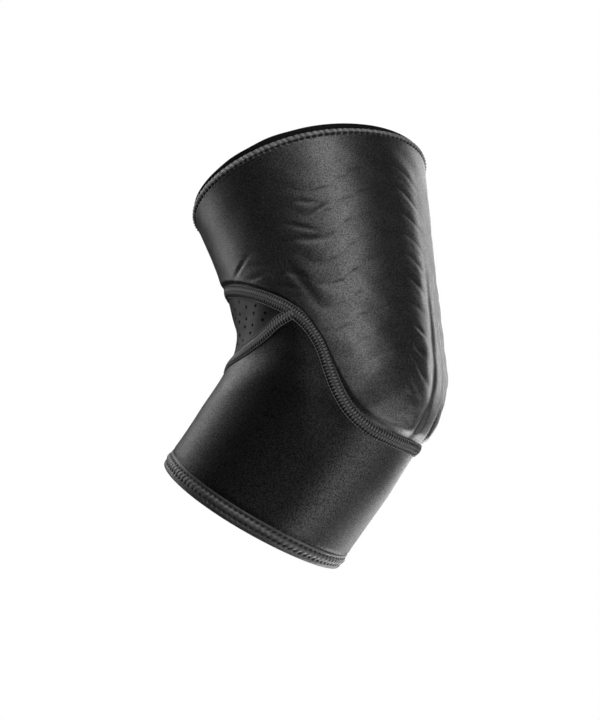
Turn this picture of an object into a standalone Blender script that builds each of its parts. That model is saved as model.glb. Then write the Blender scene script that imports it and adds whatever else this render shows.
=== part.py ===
"""Padded pull-on elbow brace in the bent form that it has when it is worn.

The sleeve is one lofted surface between a front line, which runs through the crook of the elbow,
and a back line, which runs over its point. A place on it has three numbers: an angle round the
arm (0 at the back line, 90 on the side that faces -Y, 180 in the crook), the way along the sleeve
(0 at the upper rim, 0.5 at the elbow, 1 at the lower rim) and a lift off the surface. Each piece
is a closed wall laid on that surface between two boundary curves, with a small gap at each seam.

Units are metres and degrees. +X points to the back of the elbow, +Z up the arm, and the bend lies
in the XZ plane. The origin is the middle of the hollow at the elbow.
"""

import math

import bmesh
import bpy
import numpy as np
from mathutils import Vector

# Side view of the sleeve, in the plane of the bend
UPPER_FRONT_LENGTH = 0.0683
UPPER_FRONT_LEAN = 20.1
LOWER_FRONT_LENGTH = 0.0642
LOWER_FRONT_LEAN = 36.2
UPPER_BACK_LEAN = 4.5
LOWER_BACK_LEAN = 40.3
UPPER_RIM_WIDTH = 0.1180
UPPER_RIM_TILT = 12.7
LOWER_RIM_WIDTH = 0.0977
LOWER_RIM_TILT = 34.6
CROOK_RADIUS = 0.0130
ELBOW_RADIUS = 0.0480
UPPER_FRONT_DIP = 0.0019
LOWER_FRONT_DIP = 0.0014
LOWER_RIM_RISE = 0.0008

# Cross-sections: depth across the bend as a share of the width in the bend
UPPER_RIM_DEPTH_RATIO = 0.93
ELBOW_DEPTH_RATIO = 0.81
LOWER_RIM_DEPTH_RATIO = 0.90
SECTION_FULLNESS_RATIO = 0.035

# Walls
PAD_THICKNESS = 0.0040
KNIT_THICKNESS = 0.0024
VENT_THICKNESS = 0.0017
HEM_THICKNESS = 0.0030
SEAM_GAP = 0.0003

# Turned edges
UPPER_HEM_HEIGHT = 0.0050
LOWER_HEM_HEIGHT = 0.0078
HEM_ROUNDING = 0.0009
LIP_THICKNESS = 0.0012
LIP_INSET = 0.0009
LIP_END_HEIGHT = 0.0005
LIP_SIDE_HEIGHT = 0.0026

# Quilted ribs of the padded panel
RIB_PITCH = 0.0109
RIB_SWING = 0.0100
RIB_RELIEF = 0.0015
FIRST_CREASE = 0.0168
RIB_FADE_START = 0.0850
RIB_FADE_LENGTH = 0.0450
RIB_SIDE_END = 104.0
RIB_SIDE_FADE = 14.0
SPINE_GROOVE_WIDTH = 0.0026
SPINE_GROOVE_DEPTH = 0.0010
SPINE_RIDGE_OFFSET = 0.0068
SPINE_RIDGE_HEIGHT = 0.0008

# Seams and folds
SEAM_DIP_DEPTH = 0.0011
SEAM_DIP_REACH = 0.0045
FOLD_DEPTH = 0.0016
FOLD_LENGTH = 0.0300
FOLD_WIDTH = 0.0030

# Ventilation holes in the crook
HOLE_RADIUS = 0.0007
HOLE_PITCH = 0.0064
HOLE_MARGIN = 0.0036
HOLE_SIDES = 6

# Mesh steps
COLUMNS = 48
PAD_ROWS = 42
PAD_LINING_ROWS = 8
KNIT_ROWS = 8
VENT_ROWS = 5
HEM_ROWS = 2
RAIL_STEPS = 160

# The padded panel's lower seam: angle from the back line, way along the sleeve
PAD_SEAM = (
    {"angle": 0.0, "way": 0.631},
    {"angle": 22.0, "way": 0.631},
    {"angle": 42.0, "way": 0.619},
    {"angle": 57.0, "way": 0.583},
    {"angle": 68.0, "way": 0.530},
    {"angle": 76.0, "way": 0.470},
    {"angle": 83.0, "way": 0.425},
    {"angle": 90.0, "way": 0.399},
    {"angle": 102.0, "way": 0.372},
    {"angle": 124.0, "way": 0.338},
    {"angle": 152.0, "way": 0.312},
    {"angle": 180.0, "way": 0.305},
)

# The ventilated panel's lower seam, from the tip of that panel to the middle of the crook
VENT_SEAM = (
    {"angle": 90.0, "way": 0.399},
    {"angle": 100.0, "way": 0.426},
    {"angle": 112.0, "way": 0.470},
    {"angle": 125.0, "way": 0.512},
    {"angle": 140.0, "way": 0.555},
    {"angle": 160.0, "way": 0.590},
    {"angle": 180.0, "way": 0.600},
)
VENT_TIP_ANGLE = VENT_SEAM[0]["angle"]

# Zigzag of the ribs: angle from the back line, drop as a share of RIB_SWING
RIB_ZIGZAG = (
    {"angle": 0.0, "drop": 1.00},
    {"angle": 27.0, "drop": 0.00},
    {"angle": 46.0, "drop": 0.32},
    {"angle": 72.0, "drop": 1.00},
    {"angle": 84.0, "drop": 0.20},
    {"angle": 104.0, "drop": 0.00},
    {"angle": 180.0, "drop": 0.00},
)

# Folds above the crook: the angle and way of the middle, the slant of the fold, shares of
# FOLD_LENGTH and FOLD_WIDTH, and depth as a share of FOLD_DEPTH
FOLDS = (
    {"angle": 97.0, "way": 0.345, "slant": 52.0, "length": 1.00, "width": 1.00, "depth": 1.00},
    {"angle": 118.0, "way": 0.285, "slant": 58.0, "length": 0.60, "width": 0.80, "depth": 0.80},
    {"angle": 132.0, "way": 0.230, "slant": 40.0, "length": 0.55, "width": 1.10, "depth": 0.45},
)

COLOURS = {
    "upper_panel": (0.030, 0.030, 0.032),
    "lower_panel": (0.014, 0.014, 0.015),
    "vent_panel": (0.018, 0.018, 0.019),
    "upper_hem": (0.045, 0.045, 0.047),
    "lower_hem": (0.022, 0.022, 0.023),
    "upper_lip": (0.006, 0.006, 0.006),
}


def table_curve(rows, key, angles):
    """Smooth curve through a table's rows, mirrored on the two sides of the back line."""
    turn = np.abs((np.asarray(angles) + 180.0) % 360.0 - 180.0)
    knots = np.array([row["angle"] for row in rows])
    values = np.array([row[key] for row in rows])
    slopes = np.gradient(values, knots)
    slopes[0] = 0.0 if knots[0] == 0.0 else slopes[0]
    slopes[-1] = 0.0
    cell = np.clip(np.searchsorted(knots, turn, side="right") - 1, 0, len(knots) - 2)
    span = knots[cell + 1] - knots[cell]
    s = np.clip((turn - knots[cell]) / span, 0.0, 1.0)
    ease = s * s * (3.0 - 2.0 * s)
    start_slope = slopes[cell] * span * s * (1.0 - s) ** 2
    end_slope = slopes[cell + 1] * span * s * s * (s - 1.0)
    return values[cell] * (1.0 - ease) + values[cell + 1] * ease + start_slope + end_slope


def heading(degrees_from_up):
    """Unit direction in the plane of the bend, turned from +Z toward +X."""
    return np.array([math.sin(math.radians(degrees_from_up)), math.cos(math.radians(degrees_from_up))])


def crossing(start_a, along_a, start_b, along_b):
    """Point where two lines of the plane of the bend meet."""
    reach = np.linalg.solve(np.column_stack([along_a, -along_b]), start_b - start_a)
    return start_a + along_a * reach[0]


def bent_line(start, corner, end, radius, way):
    """Points of a line from start to end whose corner is rounded; the arc's middle is at way 0.5."""
    arms = [start - corner, end - corner]
    lengths = [np.linalg.norm(arm) for arm in arms]
    units = [arm / length for arm, length in zip(arms, lengths)]
    half_corner = 0.5 * math.acos(float(np.dot(units[0], units[1])))
    tangent = radius / math.tan(half_corner)
    middle = (units[0] + units[1]) / np.linalg.norm(units[0] + units[1])
    centre = corner + middle * radius / math.sin(half_corner)
    half_arc = radius * (math.pi / 2.0 - half_corner)
    sides = []
    for unit, length, share in zip(units, lengths, (2.0 * way, 2.0 - 2.0 * way)):
        run = (share * (length - tangent + half_arc))[..., None]
        straight = corner + unit * (length - run)
        turn = (run - (length - tangent)) / radius
        arc = centre + (corner + unit * tangent - centre) * np.cos(turn) - unit * radius * np.sin(turn)
        sides.append(np.where(run < length - tangent, straight, arc))
    return np.where((way < 0.5)[..., None], sides[0], sides[1])


class SleeveForm:
    """The sleeve's outer surface, before ribs and folds."""

    def __init__(self):
        crook = np.zeros(2)
        self.front = [
            crook + UPPER_FRONT_LENGTH * heading(-UPPER_FRONT_LEAN),
            crook,
            crook - LOWER_FRONT_LENGTH * heading(LOWER_FRONT_LEAN),
        ]
        back_upper = self.front[0] + UPPER_RIM_WIDTH * heading(90.0 - UPPER_RIM_TILT)
        back_lower = self.front[2] + LOWER_RIM_WIDTH * heading(90.0 + LOWER_RIM_TILT)
        elbow = crossing(back_upper, heading(-UPPER_BACK_LEAN), back_lower, heading(LOWER_BACK_LEAN))
        self.back = [back_upper, elbow, back_lower]
        self.shift = np.zeros(2)
        front, back = self.lines(np.array([0.5]))
        self.shift = -0.5 * (front[0] + back[0])

    def lines(self, way):
        """Front and back lines in the plane of the bend."""
        front = bent_line(*self.front, CROOK_RADIUS, way)
        back = bent_line(*self.back, ELBOW_RADIUS, way)
        upper = UPPER_FRONT_DIP * np.sin(2.0 * math.pi * np.minimum(way, 0.5))
        lower = LOWER_FRONT_DIP * np.sin(2.0 * math.pi * np.maximum(way, 0.5))
        front = front + np.stack([upper - lower, np.zeros_like(way)], axis=-1)
        return front + self.shift, back + self.shift

    def surface(self, angle, way):
        """Points of the surface for arrays of angles and ways."""
        angle, way = np.broadcast_arrays(np.asarray(angle, float), np.asarray(way, float))
        turn = np.radians(angle)
        front, back = self.lines(way)
        reach = 0.5 * (back - front)
        half_width = np.linalg.norm(reach, axis=-1)
        ends = UPPER_RIM_DEPTH_RATIO * (1.0 - way) + LOWER_RIM_DEPTH_RATIO * way
        middle = ELBOW_DEPTH_RATIO - 0.5 * (UPPER_RIM_DEPTH_RATIO + LOWER_RIM_DEPTH_RATIO)
        depth = ends + 4.0 * way * (1.0 - way) * middle
        flat = 0.5 * (front + back) + reach * np.cos(turn)[..., None]
        rise = LOWER_RIM_RISE * np.clip(2.0 * way - 1.0, 0.0, None) * np.sin(turn) ** 2
        flat = flat + np.stack([-reach[..., 1], reach[..., 0]], axis=-1) * (-rise / half_width)[..., None]
        side = -half_width * depth * np.sin(turn) * (1.0 + SECTION_FULLNESS_RATIO * np.cos(turn))
        return np.stack([flat[..., 0], side, flat[..., 1]], axis=-1)

    def normals(self, angle, way):
        """Outward unit normals, from central differences."""
        small_turn = 0.5
        small_way = 0.004
        round_arm = self.surface(angle + small_turn, way) - self.surface(angle - small_turn, way)
        down_arm = self.surface(angle, way + small_way) - self.surface(angle, way - small_way)
        out = np.cross(round_arm, down_arm)
        return out / np.linalg.norm(out, axis=-1, keepdims=True)

    def lifted(self, angle, way, lift):
        """Points at a lift off the surface."""
        return self.surface(angle, way) + self.normals(angle, way) * np.asarray(lift)[..., None]

    def rail(self, angle):
        """Ways along one line of the sleeve and their distances from the upper rim."""
        ways = np.linspace(0.0, 1.0, RAIL_STEPS + 1)
        points = self.surface(np.full_like(ways, angle), ways)
        steps = np.linalg.norm(np.diff(points, axis=0), axis=-1)
        return ways, np.concatenate([[0.0], np.cumsum(steps)])

    def distance(self, angles, ways):
        """Distances from the upper rim, for a grid with one angle to each column."""
        columns = []
        for column, angle in enumerate(angles):
            steps, runs = self.rail(angle)
            inside = np.interp(ways[:, column], steps, runs)
            beyond = np.minimum(ways[:, column], 0.0) * runs[1] * RAIL_STEPS
            columns.append(inside + beyond)
        return np.stack(columns, axis=-1)

    def moved(self, angles, ways, lengths):
        """Ways at given lengths further down the sleeve than the given ways, one to each column."""
        out = []
        for angle, way, length in zip(angles, ways, np.broadcast_to(lengths, ways.shape)):
            steps, runs = self.rail(angle)
            target = np.interp(way, steps, runs) + length
            beyond = np.minimum(target, 0.0) / (runs[1] * RAIL_STEPS)
            out.append(np.interp(target, runs, steps) + beyond)
        return np.array(out)


def smooth_step(value):
    """Ease from 0 to 1 while the value goes from 0 to 1."""
    s = np.clip(value, 0.0, 1.0)
    return s * s * (3.0 - 2.0 * s)


def rib_lift(angles, distance):
    """Height of the quilted ribs: rounded rolls between creases that zigzag round the arm."""
    turn = np.abs((angles + 180.0) % 360.0 - 180.0)
    drop = RIB_SWING * table_curve(RIB_ZIGZAG, "drop", angles)
    phase = (distance - FIRST_CREASE - drop) / RIB_PITCH
    roll = np.sqrt(np.abs(np.sin(math.pi * phase)))
    first = smooth_step(phase + 1.0)
    fade = 1.0 - smooth_step((distance - RIB_FADE_START) / RIB_FADE_LENGTH)
    side = 1.0 - smooth_step((turn - RIB_SIDE_END + RIB_SIDE_FADE) / RIB_SIDE_FADE)
    return RIB_RELIEF * roll * first * fade * side


def spine_lift(angles):
    """Height of the groove down the back line and of the ridges beside it."""
    turn = np.radians((angles + 180.0) % 360.0 - 180.0)
    across = 0.5 * UPPER_RIM_WIDTH * turn
    groove = -SPINE_GROOVE_DEPTH * np.exp(-((across / SPINE_GROOVE_WIDTH) ** 2))
    beside = (np.abs(across) - SPINE_RIDGE_OFFSET) / SPINE_GROOVE_WIDTH
    return groove + SPINE_RIDGE_HEIGHT * np.exp(-(beside**2))


def fold_lift(form, angles, points):
    """Depth of the folds above the crook, on the two sides of the arm."""
    lift = np.zeros(points.shape[:-1])
    for side in (1.0, -1.0):
        for fold in FOLDS:
            middle_angle = np.array([side * fold["angle"]])
            middle_way = np.array([fold["way"]])
            middle = form.surface(middle_angle, middle_way)[0]
            down = form.surface(middle_angle, middle_way + 0.01)[0] - middle
            round_arm = form.surface(middle_angle + side * 0.5, middle_way)[0] - middle
            down = down / np.linalg.norm(down)
            round_arm = round_arm / np.linalg.norm(round_arm)
            slant = math.radians(fold["slant"])
            along = -round_arm * math.cos(slant) + down * math.sin(slant)
            across = round_arm * math.sin(slant) + down * math.cos(slant)
            offset = points - middle
            run = offset @ along / (0.5 * FOLD_LENGTH * fold["length"])
            aside = offset @ across / (FOLD_WIDTH * fold["width"])
            lift -= FOLD_DEPTH * fold["depth"] * np.exp(-(run**2) - aside**2)
    return lift


def seam_lift(gap_to_seam):
    """Dip of the cloth toward a seam."""
    return -SEAM_DIP_DEPTH * np.exp(-((gap_to_seam / SEAM_DIP_REACH) ** 2))


def make_material(name, colour):
    """Dull cloth finish."""
    material = bpy.data.materials.new(name)
    material.use_nodes = True
    shader = material.node_tree.nodes["Principled BSDF"]
    shader.inputs["Base Color"].default_value = (*colour, 1.0)
    shader.inputs["Roughness"].default_value = 0.85
    shader.inputs["Metallic"].default_value = 0.0
    return material


def add_object(name, mesh, collection):
    """Object for a finished mesh, in a collection."""
    thing = bpy.data.objects.new(name, mesh)
    collection.objects.link(thing)
    return thing


def add_wall(name, outer, inner, collection, closed_ring=True):
    """Closed wall lofted between an outer and an inner skin.

    Both skins are grids of points with rows down the sleeve and the same columns round the arm,
    and they may have unlike numbers of rows.
    """
    rows = [outer.shape[0], inner.shape[0]]
    columns = outer.shape[1]
    starts = [0, rows[0] * columns]
    points = np.concatenate([outer.reshape(-1, 3), inner.reshape(-1, 3)])

    def corner(skin, row, column):
        return starts[skin] + row * columns + column % columns

    faces = []
    for column in range(columns if closed_ring else columns - 1):
        following = column + 1
        for row in range(rows[0] - 1):
            faces.append([corner(0, row, column), corner(0, row + 1, column),
                          corner(0, row + 1, following), corner(0, row, following)])
        for row in range(rows[1] - 1):
            faces.append([corner(1, row, column), corner(1, row, following),
                          corner(1, row + 1, following), corner(1, row + 1, column)])
        faces.append([corner(0, 0, column), corner(0, 0, following),
                      corner(1, 0, following), corner(1, 0, column)])
        faces.append([corner(0, rows[0] - 1, column), corner(1, rows[1] - 1, column),
                      corner(1, rows[1] - 1, following), corner(0, rows[0] - 1, following)])
    mesh = bpy.data.meshes.new(name)
    mesh.from_pydata(points.tolist(), [], faces)
    if not closed_ring:
        close_ends(mesh)
    tidy = bmesh.new()
    tidy.from_mesh(mesh)
    bmesh.ops.recalc_face_normals(tidy, faces=tidy.faces)
    bmesh.ops.triangulate(tidy, faces=tidy.faces)
    tidy.to_mesh(mesh)
    tidy.free()
    wall = add_object(name, mesh, collection)
    mesh.materials.append(make_material(name, COLOURS[name]))
    mesh.shade_smooth()
    mesh.set_sharp_from_angle(angle=math.radians(50.0))
    return wall


def close_ends(mesh):
    """Caps on the open ends of a strip."""
    ends = bmesh.new()
    ends.from_mesh(mesh)
    bmesh.ops.holes_fill(ends, edges=[edge for edge in ends.edges if edge.is_boundary], sides=0)
    ends.to_mesh(mesh)
    ends.free()


def ring_angles():
    """Angles of the columns of a piece that goes all the way round."""
    return np.arange(COLUMNS) * (360.0 / COLUMNS)


def way_grid(first, last, rows):
    """Ways of a grid of rows between two boundaries."""
    share = np.linspace(0.0, 1.0, rows)[:, None]
    return first[None, :] * (1.0 - share) + last[None, :] * share


def pad_lift(form, angles, ways):
    """Lift of the padded panel's outer skin: ribs, spine, folds and the dip at its seam."""
    distance = form.distance(angles, ways)
    grid_angles = np.broadcast_to(angles, ways.shape)
    seam = form.distance(angles, table_curve(PAD_SEAM, "way", angles)[None, :])
    to_seam = seam - distance
    quilting = smooth_step(to_seam / (2.0 * SEAM_DIP_REACH))
    hem_side = smooth_step((distance - UPPER_HEM_HEIGHT) / RIB_PITCH)
    points = form.surface(grid_angles, ways)
    ribs = rib_lift(grid_angles, distance) + spine_lift(grid_angles)
    return ribs * quilting * hem_side + fold_lift(form, grid_angles, points) + seam_lift(to_seam)


def build_upper_panel(form, collection):
    """Padded panel from the upper hem to the curved seam, thicker where it is quilted."""
    angles = ring_angles()
    top = form.moved(angles, np.zeros(COLUMNS), UPPER_HEM_HEIGHT + SEAM_GAP)
    seam = form.moved(angles, table_curve(PAD_SEAM, "way", angles), -0.5 * SEAM_GAP)
    outer_ways = way_grid(top, seam, PAD_ROWS)
    inner_ways = way_grid(top, seam, PAD_LINING_ROWS)
    outer = form.lifted(angles[None, :], outer_ways, pad_lift(form, angles, outer_ways))
    inner = form.lifted(angles[None, :], inner_ways, np.full(inner_ways.shape, -PAD_THICKNESS))
    return add_wall("upper_panel", outer, inner, collection)


def lower_seam_way(angles):
    """Way of the seam above the knitted panel: the padded panel's behind, the vent's in front."""
    turn = np.abs((angles + 180.0) % 360.0 - 180.0)
    behind = table_curve(PAD_SEAM, "way", angles)
    return np.where(turn > VENT_TIP_ANGLE, table_curve(VENT_SEAM, "way", angles), behind)


def build_lower_panel(form, collection):
    """Knitted panel from the seams down to the lower hem."""
    angles = ring_angles()
    top = form.moved(angles, lower_seam_way(angles), 0.5 * SEAM_GAP)
    bottom = form.moved(angles, np.ones(COLUMNS), -LOWER_HEM_HEIGHT - SEAM_GAP)
    ways = way_grid(top, bottom, KNIT_ROWS)
    to_seam = form.distance(angles, ways) - form.distance(angles, top[None, :])
    outer = form.lifted(angles[None, :], ways, seam_lift(to_seam))
    inner = form.lifted(angles[None, :], ways, np.full(ways.shape, -KNIT_THICKNESS))
    return add_wall("lower_panel", outer, inner, collection)


def vent_angles():
    """Angles of the vent's columns: the ring's own, and one close to each tip."""
    near_tip = 0.25 * 360.0 / COLUMNS
    ring = ring_angles()
    inside = ring[(ring > VENT_TIP_ANGLE) & (ring < 360.0 - VENT_TIP_ANGLE)]
    return np.concatenate([[VENT_TIP_ANGLE + near_tip], inside, [360.0 - VENT_TIP_ANGLE - near_tip]])


def vent_edges(form, angles):
    """Ways of the upper and lower edge of the ventilated panel."""
    upper = form.moved(angles, table_curve(PAD_SEAM, "way", angles), 0.5 * SEAM_GAP)
    lower = form.moved(angles, table_curve(VENT_SEAM, "way", angles), -0.5 * SEAM_GAP)
    return upper, lower


def hole_places(form):
    """Angles and ways of the ventilation holes, in staggered rows below the padded panel."""
    places = []
    pitch_angle = math.degrees(HOLE_PITCH / (0.5 * UPPER_RIM_WIDTH))
    across = int((180.0 - VENT_TIP_ANGLE) / pitch_angle)
    for row in range(int(LOWER_FRONT_LENGTH / HOLE_PITCH)):
        for step in range(-across, across + 1):
            angle = np.array([180.0 + (step + 0.5 * (row % 2)) * pitch_angle])
            upper, lower = vent_edges(form, angle)
            below = HOLE_MARGIN + row * HOLE_PITCH
            way = form.moved(angle, upper, below)
            if form.moved(angle, way, HOLE_MARGIN)[0] < lower[0]:
                places.append((angle[0], way[0]))
    return places


def build_vent_panel(form, collection, cutters):
    """Thin panel in the crook, with small holes through it."""
    angles = vent_angles()
    upper, lower = vent_edges(form, angles)
    ways = way_grid(upper, lower, VENT_ROWS)
    outer = form.lifted(angles[None, :], ways, np.full(ways.shape, -SEAM_DIP_DEPTH))
    inner = form.lifted(angles[None, :], ways, np.full(ways.shape, -SEAM_DIP_DEPTH - VENT_THICKNESS))
    panel = add_wall("vent_panel", outer, inner, collection, closed_ring=False)

    punches = bmesh.new()
    for angle, way in hole_places(form):
        middle = form.surface(np.array(angle), np.array(way))
        out = form.normals(np.array(angle), np.array(way))
        made = bmesh.ops.create_cone(
            punches, cap_ends=True, segments=HOLE_SIDES, radius1=HOLE_RADIUS, radius2=HOLE_RADIUS,
            depth=4.0 * (VENT_THICKNESS + SEAM_DIP_DEPTH))
        turn = Vector((0.0, 0.0, 1.0)).rotation_difference(Vector(out))
        bmesh.ops.rotate(punches, verts=made["verts"], matrix=turn.to_matrix())
        bmesh.ops.translate(punches, verts=made["verts"], vec=Vector(middle))
    mesh = bpy.data.meshes.new("vent_punches")
    punches.to_mesh(mesh)
    punches.free()
    cutter = add_object("vent_punches", mesh, cutters)
    cutter.hide_render = True
    cutter.display_type = "WIRE"
    cut = panel.modifiers.new("holes", "BOOLEAN")
    cut.operation = "DIFFERENCE"
    cut.object = cutter
    return panel


def build_hem(name, form, collection, rim_way, height, direction):
    """Turned edge: a wall round the arm whose outer skin rolls in at the rim."""
    angles = ring_angles()
    rim = np.full(COLUMNS, rim_way)
    runs = [0.0, HEM_ROUNDING] + [height * (row + 1) / HEM_ROWS for row in range(HEM_ROWS)]
    lifts = [-HEM_ROUNDING] + [0.0] * (len(runs) - 1)
    outer_ways = np.stack([form.moved(angles, rim, direction * run) for run in runs])
    inner_ways = outer_ways[[0, -1]]
    outer = form.lifted(angles[None, :], outer_ways, np.array(lifts)[:, None] * np.ones(COLUMNS))
    inner = form.lifted(angles[None, :], inner_ways, np.full(inner_ways.shape, -HEM_THICKNESS))
    return add_wall(name, outer, inner, collection)


def build_upper_lip(form, collection):
    """Dark edge of the inner cloth, which stands above the upper hem at the sides of the arm."""
    angles = ring_angles()
    rim = np.zeros(COLUMNS)
    swell = np.sin(np.radians(angles)) ** 2
    height = LIP_END_HEIGHT + (LIP_SIDE_HEIGHT - LIP_END_HEIGHT) * swell
    foot = form.moved(angles, rim, -SEAM_GAP)
    top = form.moved(angles, rim, -SEAM_GAP - height)
    ways = np.stack([top, foot])
    outer = form.lifted(angles[None, :], ways, np.full(ways.shape, -LIP_INSET))
    inner = form.lifted(angles[None, :], ways, np.full(ways.shape, -LIP_INSET - LIP_THICKNESS))
    return add_wall("upper_lip", outer, inner, collection)


def main():
    """Clear the scene and build every piece of the brace."""
    for thing in list(bpy.data.objects):
        bpy.data.objects.remove(thing)
    brace = bpy.data.collections.new("elbow_brace")
    cutters = bpy.data.collections.new("cutters")
    bpy.context.scene.collection.children.link(brace)
    bpy.context.scene.collection.children.link(cutters)
    form = SleeveForm()
    build_upper_panel(form, brace)
    build_lower_panel(form, brace)
    build_vent_panel(form, brace, cutters)
    build_hem("upper_hem", form, brace, 0.0, UPPER_HEM_HEIGHT, 1.0)
    build_hem("lower_hem", form, brace, 1.0, LOWER_HEM_HEIGHT, -1.0)
    build_upper_lip(form, brace)


main()
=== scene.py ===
"""Dressed model of a padded pull-on elbow brace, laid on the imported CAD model.

The sleeve is one surface between a front line, through the crook of the elbow, and a back line,
over its point. A place on it has an angle round the arm (0 at the back line, 90 on the side that
faces -Y, 180 in the crook), a way along the sleeve (0 at the upper rim, 0.5 at the elbow, 1 at
the lower rim) and a lift off the surface. Every panel, hem and seam is worked out on that surface,
with the same sizes as the CAD model. Units are metres and degrees.
"""

import logging
import math
from collections.abc import Callable, Sequence
from dataclasses import dataclass, field
from enum import Enum

import bmesh
import bpy
import numpy as np
from mathutils import Matrix, Vector

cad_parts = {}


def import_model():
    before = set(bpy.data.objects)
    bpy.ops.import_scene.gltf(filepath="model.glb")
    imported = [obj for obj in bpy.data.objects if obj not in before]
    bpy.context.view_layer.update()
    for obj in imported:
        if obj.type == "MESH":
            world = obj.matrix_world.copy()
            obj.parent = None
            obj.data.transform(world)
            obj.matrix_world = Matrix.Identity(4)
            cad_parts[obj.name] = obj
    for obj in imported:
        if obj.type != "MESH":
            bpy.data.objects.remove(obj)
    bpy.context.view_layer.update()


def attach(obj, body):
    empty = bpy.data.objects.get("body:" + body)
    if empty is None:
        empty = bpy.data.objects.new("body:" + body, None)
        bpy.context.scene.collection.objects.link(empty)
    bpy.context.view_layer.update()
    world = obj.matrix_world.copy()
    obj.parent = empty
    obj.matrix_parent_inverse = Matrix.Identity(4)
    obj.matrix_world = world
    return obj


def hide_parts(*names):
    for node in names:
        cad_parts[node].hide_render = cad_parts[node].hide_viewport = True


Array = np.ndarray
log = logging.getLogger("elbow_brace")


def smooth_step(value: Array) -> Array:
    """Ease from 0 to 1 as the value does: three times its square less twice its cube."""
    s = np.clip(value, 0.0, 1.0)
    return s * s * (3.0 - 2.0 * s)


def ramp(value: Array, start: float | Array, length: float | Array) -> Array:
    """Ease from 0 at the start to 1 a length further on."""
    return smooth_step((value - start) / length)


def bell(value: Array) -> Array:
    """Bell curve that is 1 at 0: e to the power of minus the square."""
    return np.exp(-np.square(value))


def mound(value: Array, middle: float, width: float) -> Array:
    """Bell curve round a middle, down to 1/e a width away."""
    return bell((value - middle) / width)


def folded_turn(angles: Array) -> Array:
    """Angle from the back line, from 0 to 180, the same on the two sides of the arm."""
    return np.abs((np.asarray(angles, float) + 180.0) % 360.0 - 180.0)


def unit(vectors: Array) -> Array:
    """Vectors scaled to length 1, with the coordinates last."""
    return vectors / np.linalg.norm(vectors, axis=-1, keepdims=True)


def direction(bearing: float, height: float) -> Vector:
    """Unit direction toward a bearing, counted from -Y toward +X, and an angle above level."""
    turn, rise = math.radians(bearing), math.radians(height)
    return Vector(
        (math.sin(turn) * math.cos(rise), -math.cos(turn) * math.cos(rise), math.sin(rise))
    )


def into_scene(made: bpy.types.Object) -> bpy.types.Object:
    """Links an object into the scene and hands it back."""
    bpy.context.scene.collection.objects.link(made)
    return made


def turn_faces_out(mesh: bpy.types.Mesh, weld: float = 0.0) -> bpy.types.Mesh:
    """Turns a closed mesh's faces out.

    Args:
        mesh: The mesh, which is changed.
        weld: Distance under which points are joined first, 0 for none.

    Returns:
        The mesh.
    """
    faces = bmesh.new()
    faces.from_mesh(mesh)
    if weld > 0.0:
        bmesh.ops.remove_doubles(faces, verts=faces.verts, dist=weld)
    bmesh.ops.recalc_face_normals(faces, faces=faces.faces)
    faces.to_mesh(mesh)
    faces.free()
    return mesh


@dataclass(frozen=True)
class RoundCurve:
    """A value that changes round the arm, given at a few angles from the back line."""

    angles: tuple[float, ...]
    values: tuple[float, ...]

    def at(self, angles: Array) -> Array:
        """Smooth curve through the table, mirrored on the two sides of the back line.

        Between two knots it is a cubic that meets both values with the table's mean slopes, and
        it is level at the last knot and at the back line.

        Args:
            angles: Angles round the arm, in degrees.

        Returns:
            The value at each angle.
        """
        turn = folded_turn(angles)
        knots = np.array(self.angles)
        values = np.array(self.values)
        slopes = np.gradient(values, knots)
        slopes[0] = 0.0 if knots[0] == 0.0 else slopes[0]
        slopes[-1] = 0.0
        cell = np.clip(np.searchsorted(knots, turn, side="right") - 1, 0, len(knots) - 2)
        span = knots[cell + 1] - knots[cell]
        s = np.clip((turn - knots[cell]) / span, 0.0, 1.0)
        ease = s * s * (3.0 - 2.0 * s)
        start = slopes[cell] * span * s * (1.0 - s) ** 2
        end = slopes[cell + 1] * span * s * s * (s - 1.0)
        return values[cell] * (1.0 - ease) + values[cell + 1] * ease + start + end


PAD_SEAM = RoundCurve(
    (0.0, 22.0, 42.0, 57.0, 68.0, 76.0, 83.0, 90.0, 102.0, 124.0, 152.0, 180.0),
    (0.631, 0.631, 0.619, 0.583, 0.530, 0.470, 0.425, 0.399, 0.372, 0.338, 0.312, 0.305),
)
VENT_SEAM = RoundCurve(
    (90.0, 100.0, 112.0, 125.0, 140.0, 160.0, 180.0),
    (0.399, 0.426, 0.470, 0.512, 0.555, 0.590, 0.600),
)
VENT_TIP_ANGLE = 90.0
UPPER_STITCHES = 124
LOWER_STITCHES = 104
SEAM_GAP = 0.0003
SEAM_DIP = 0.0011
RIPPLE_HEIGHT = 0.00007


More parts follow.
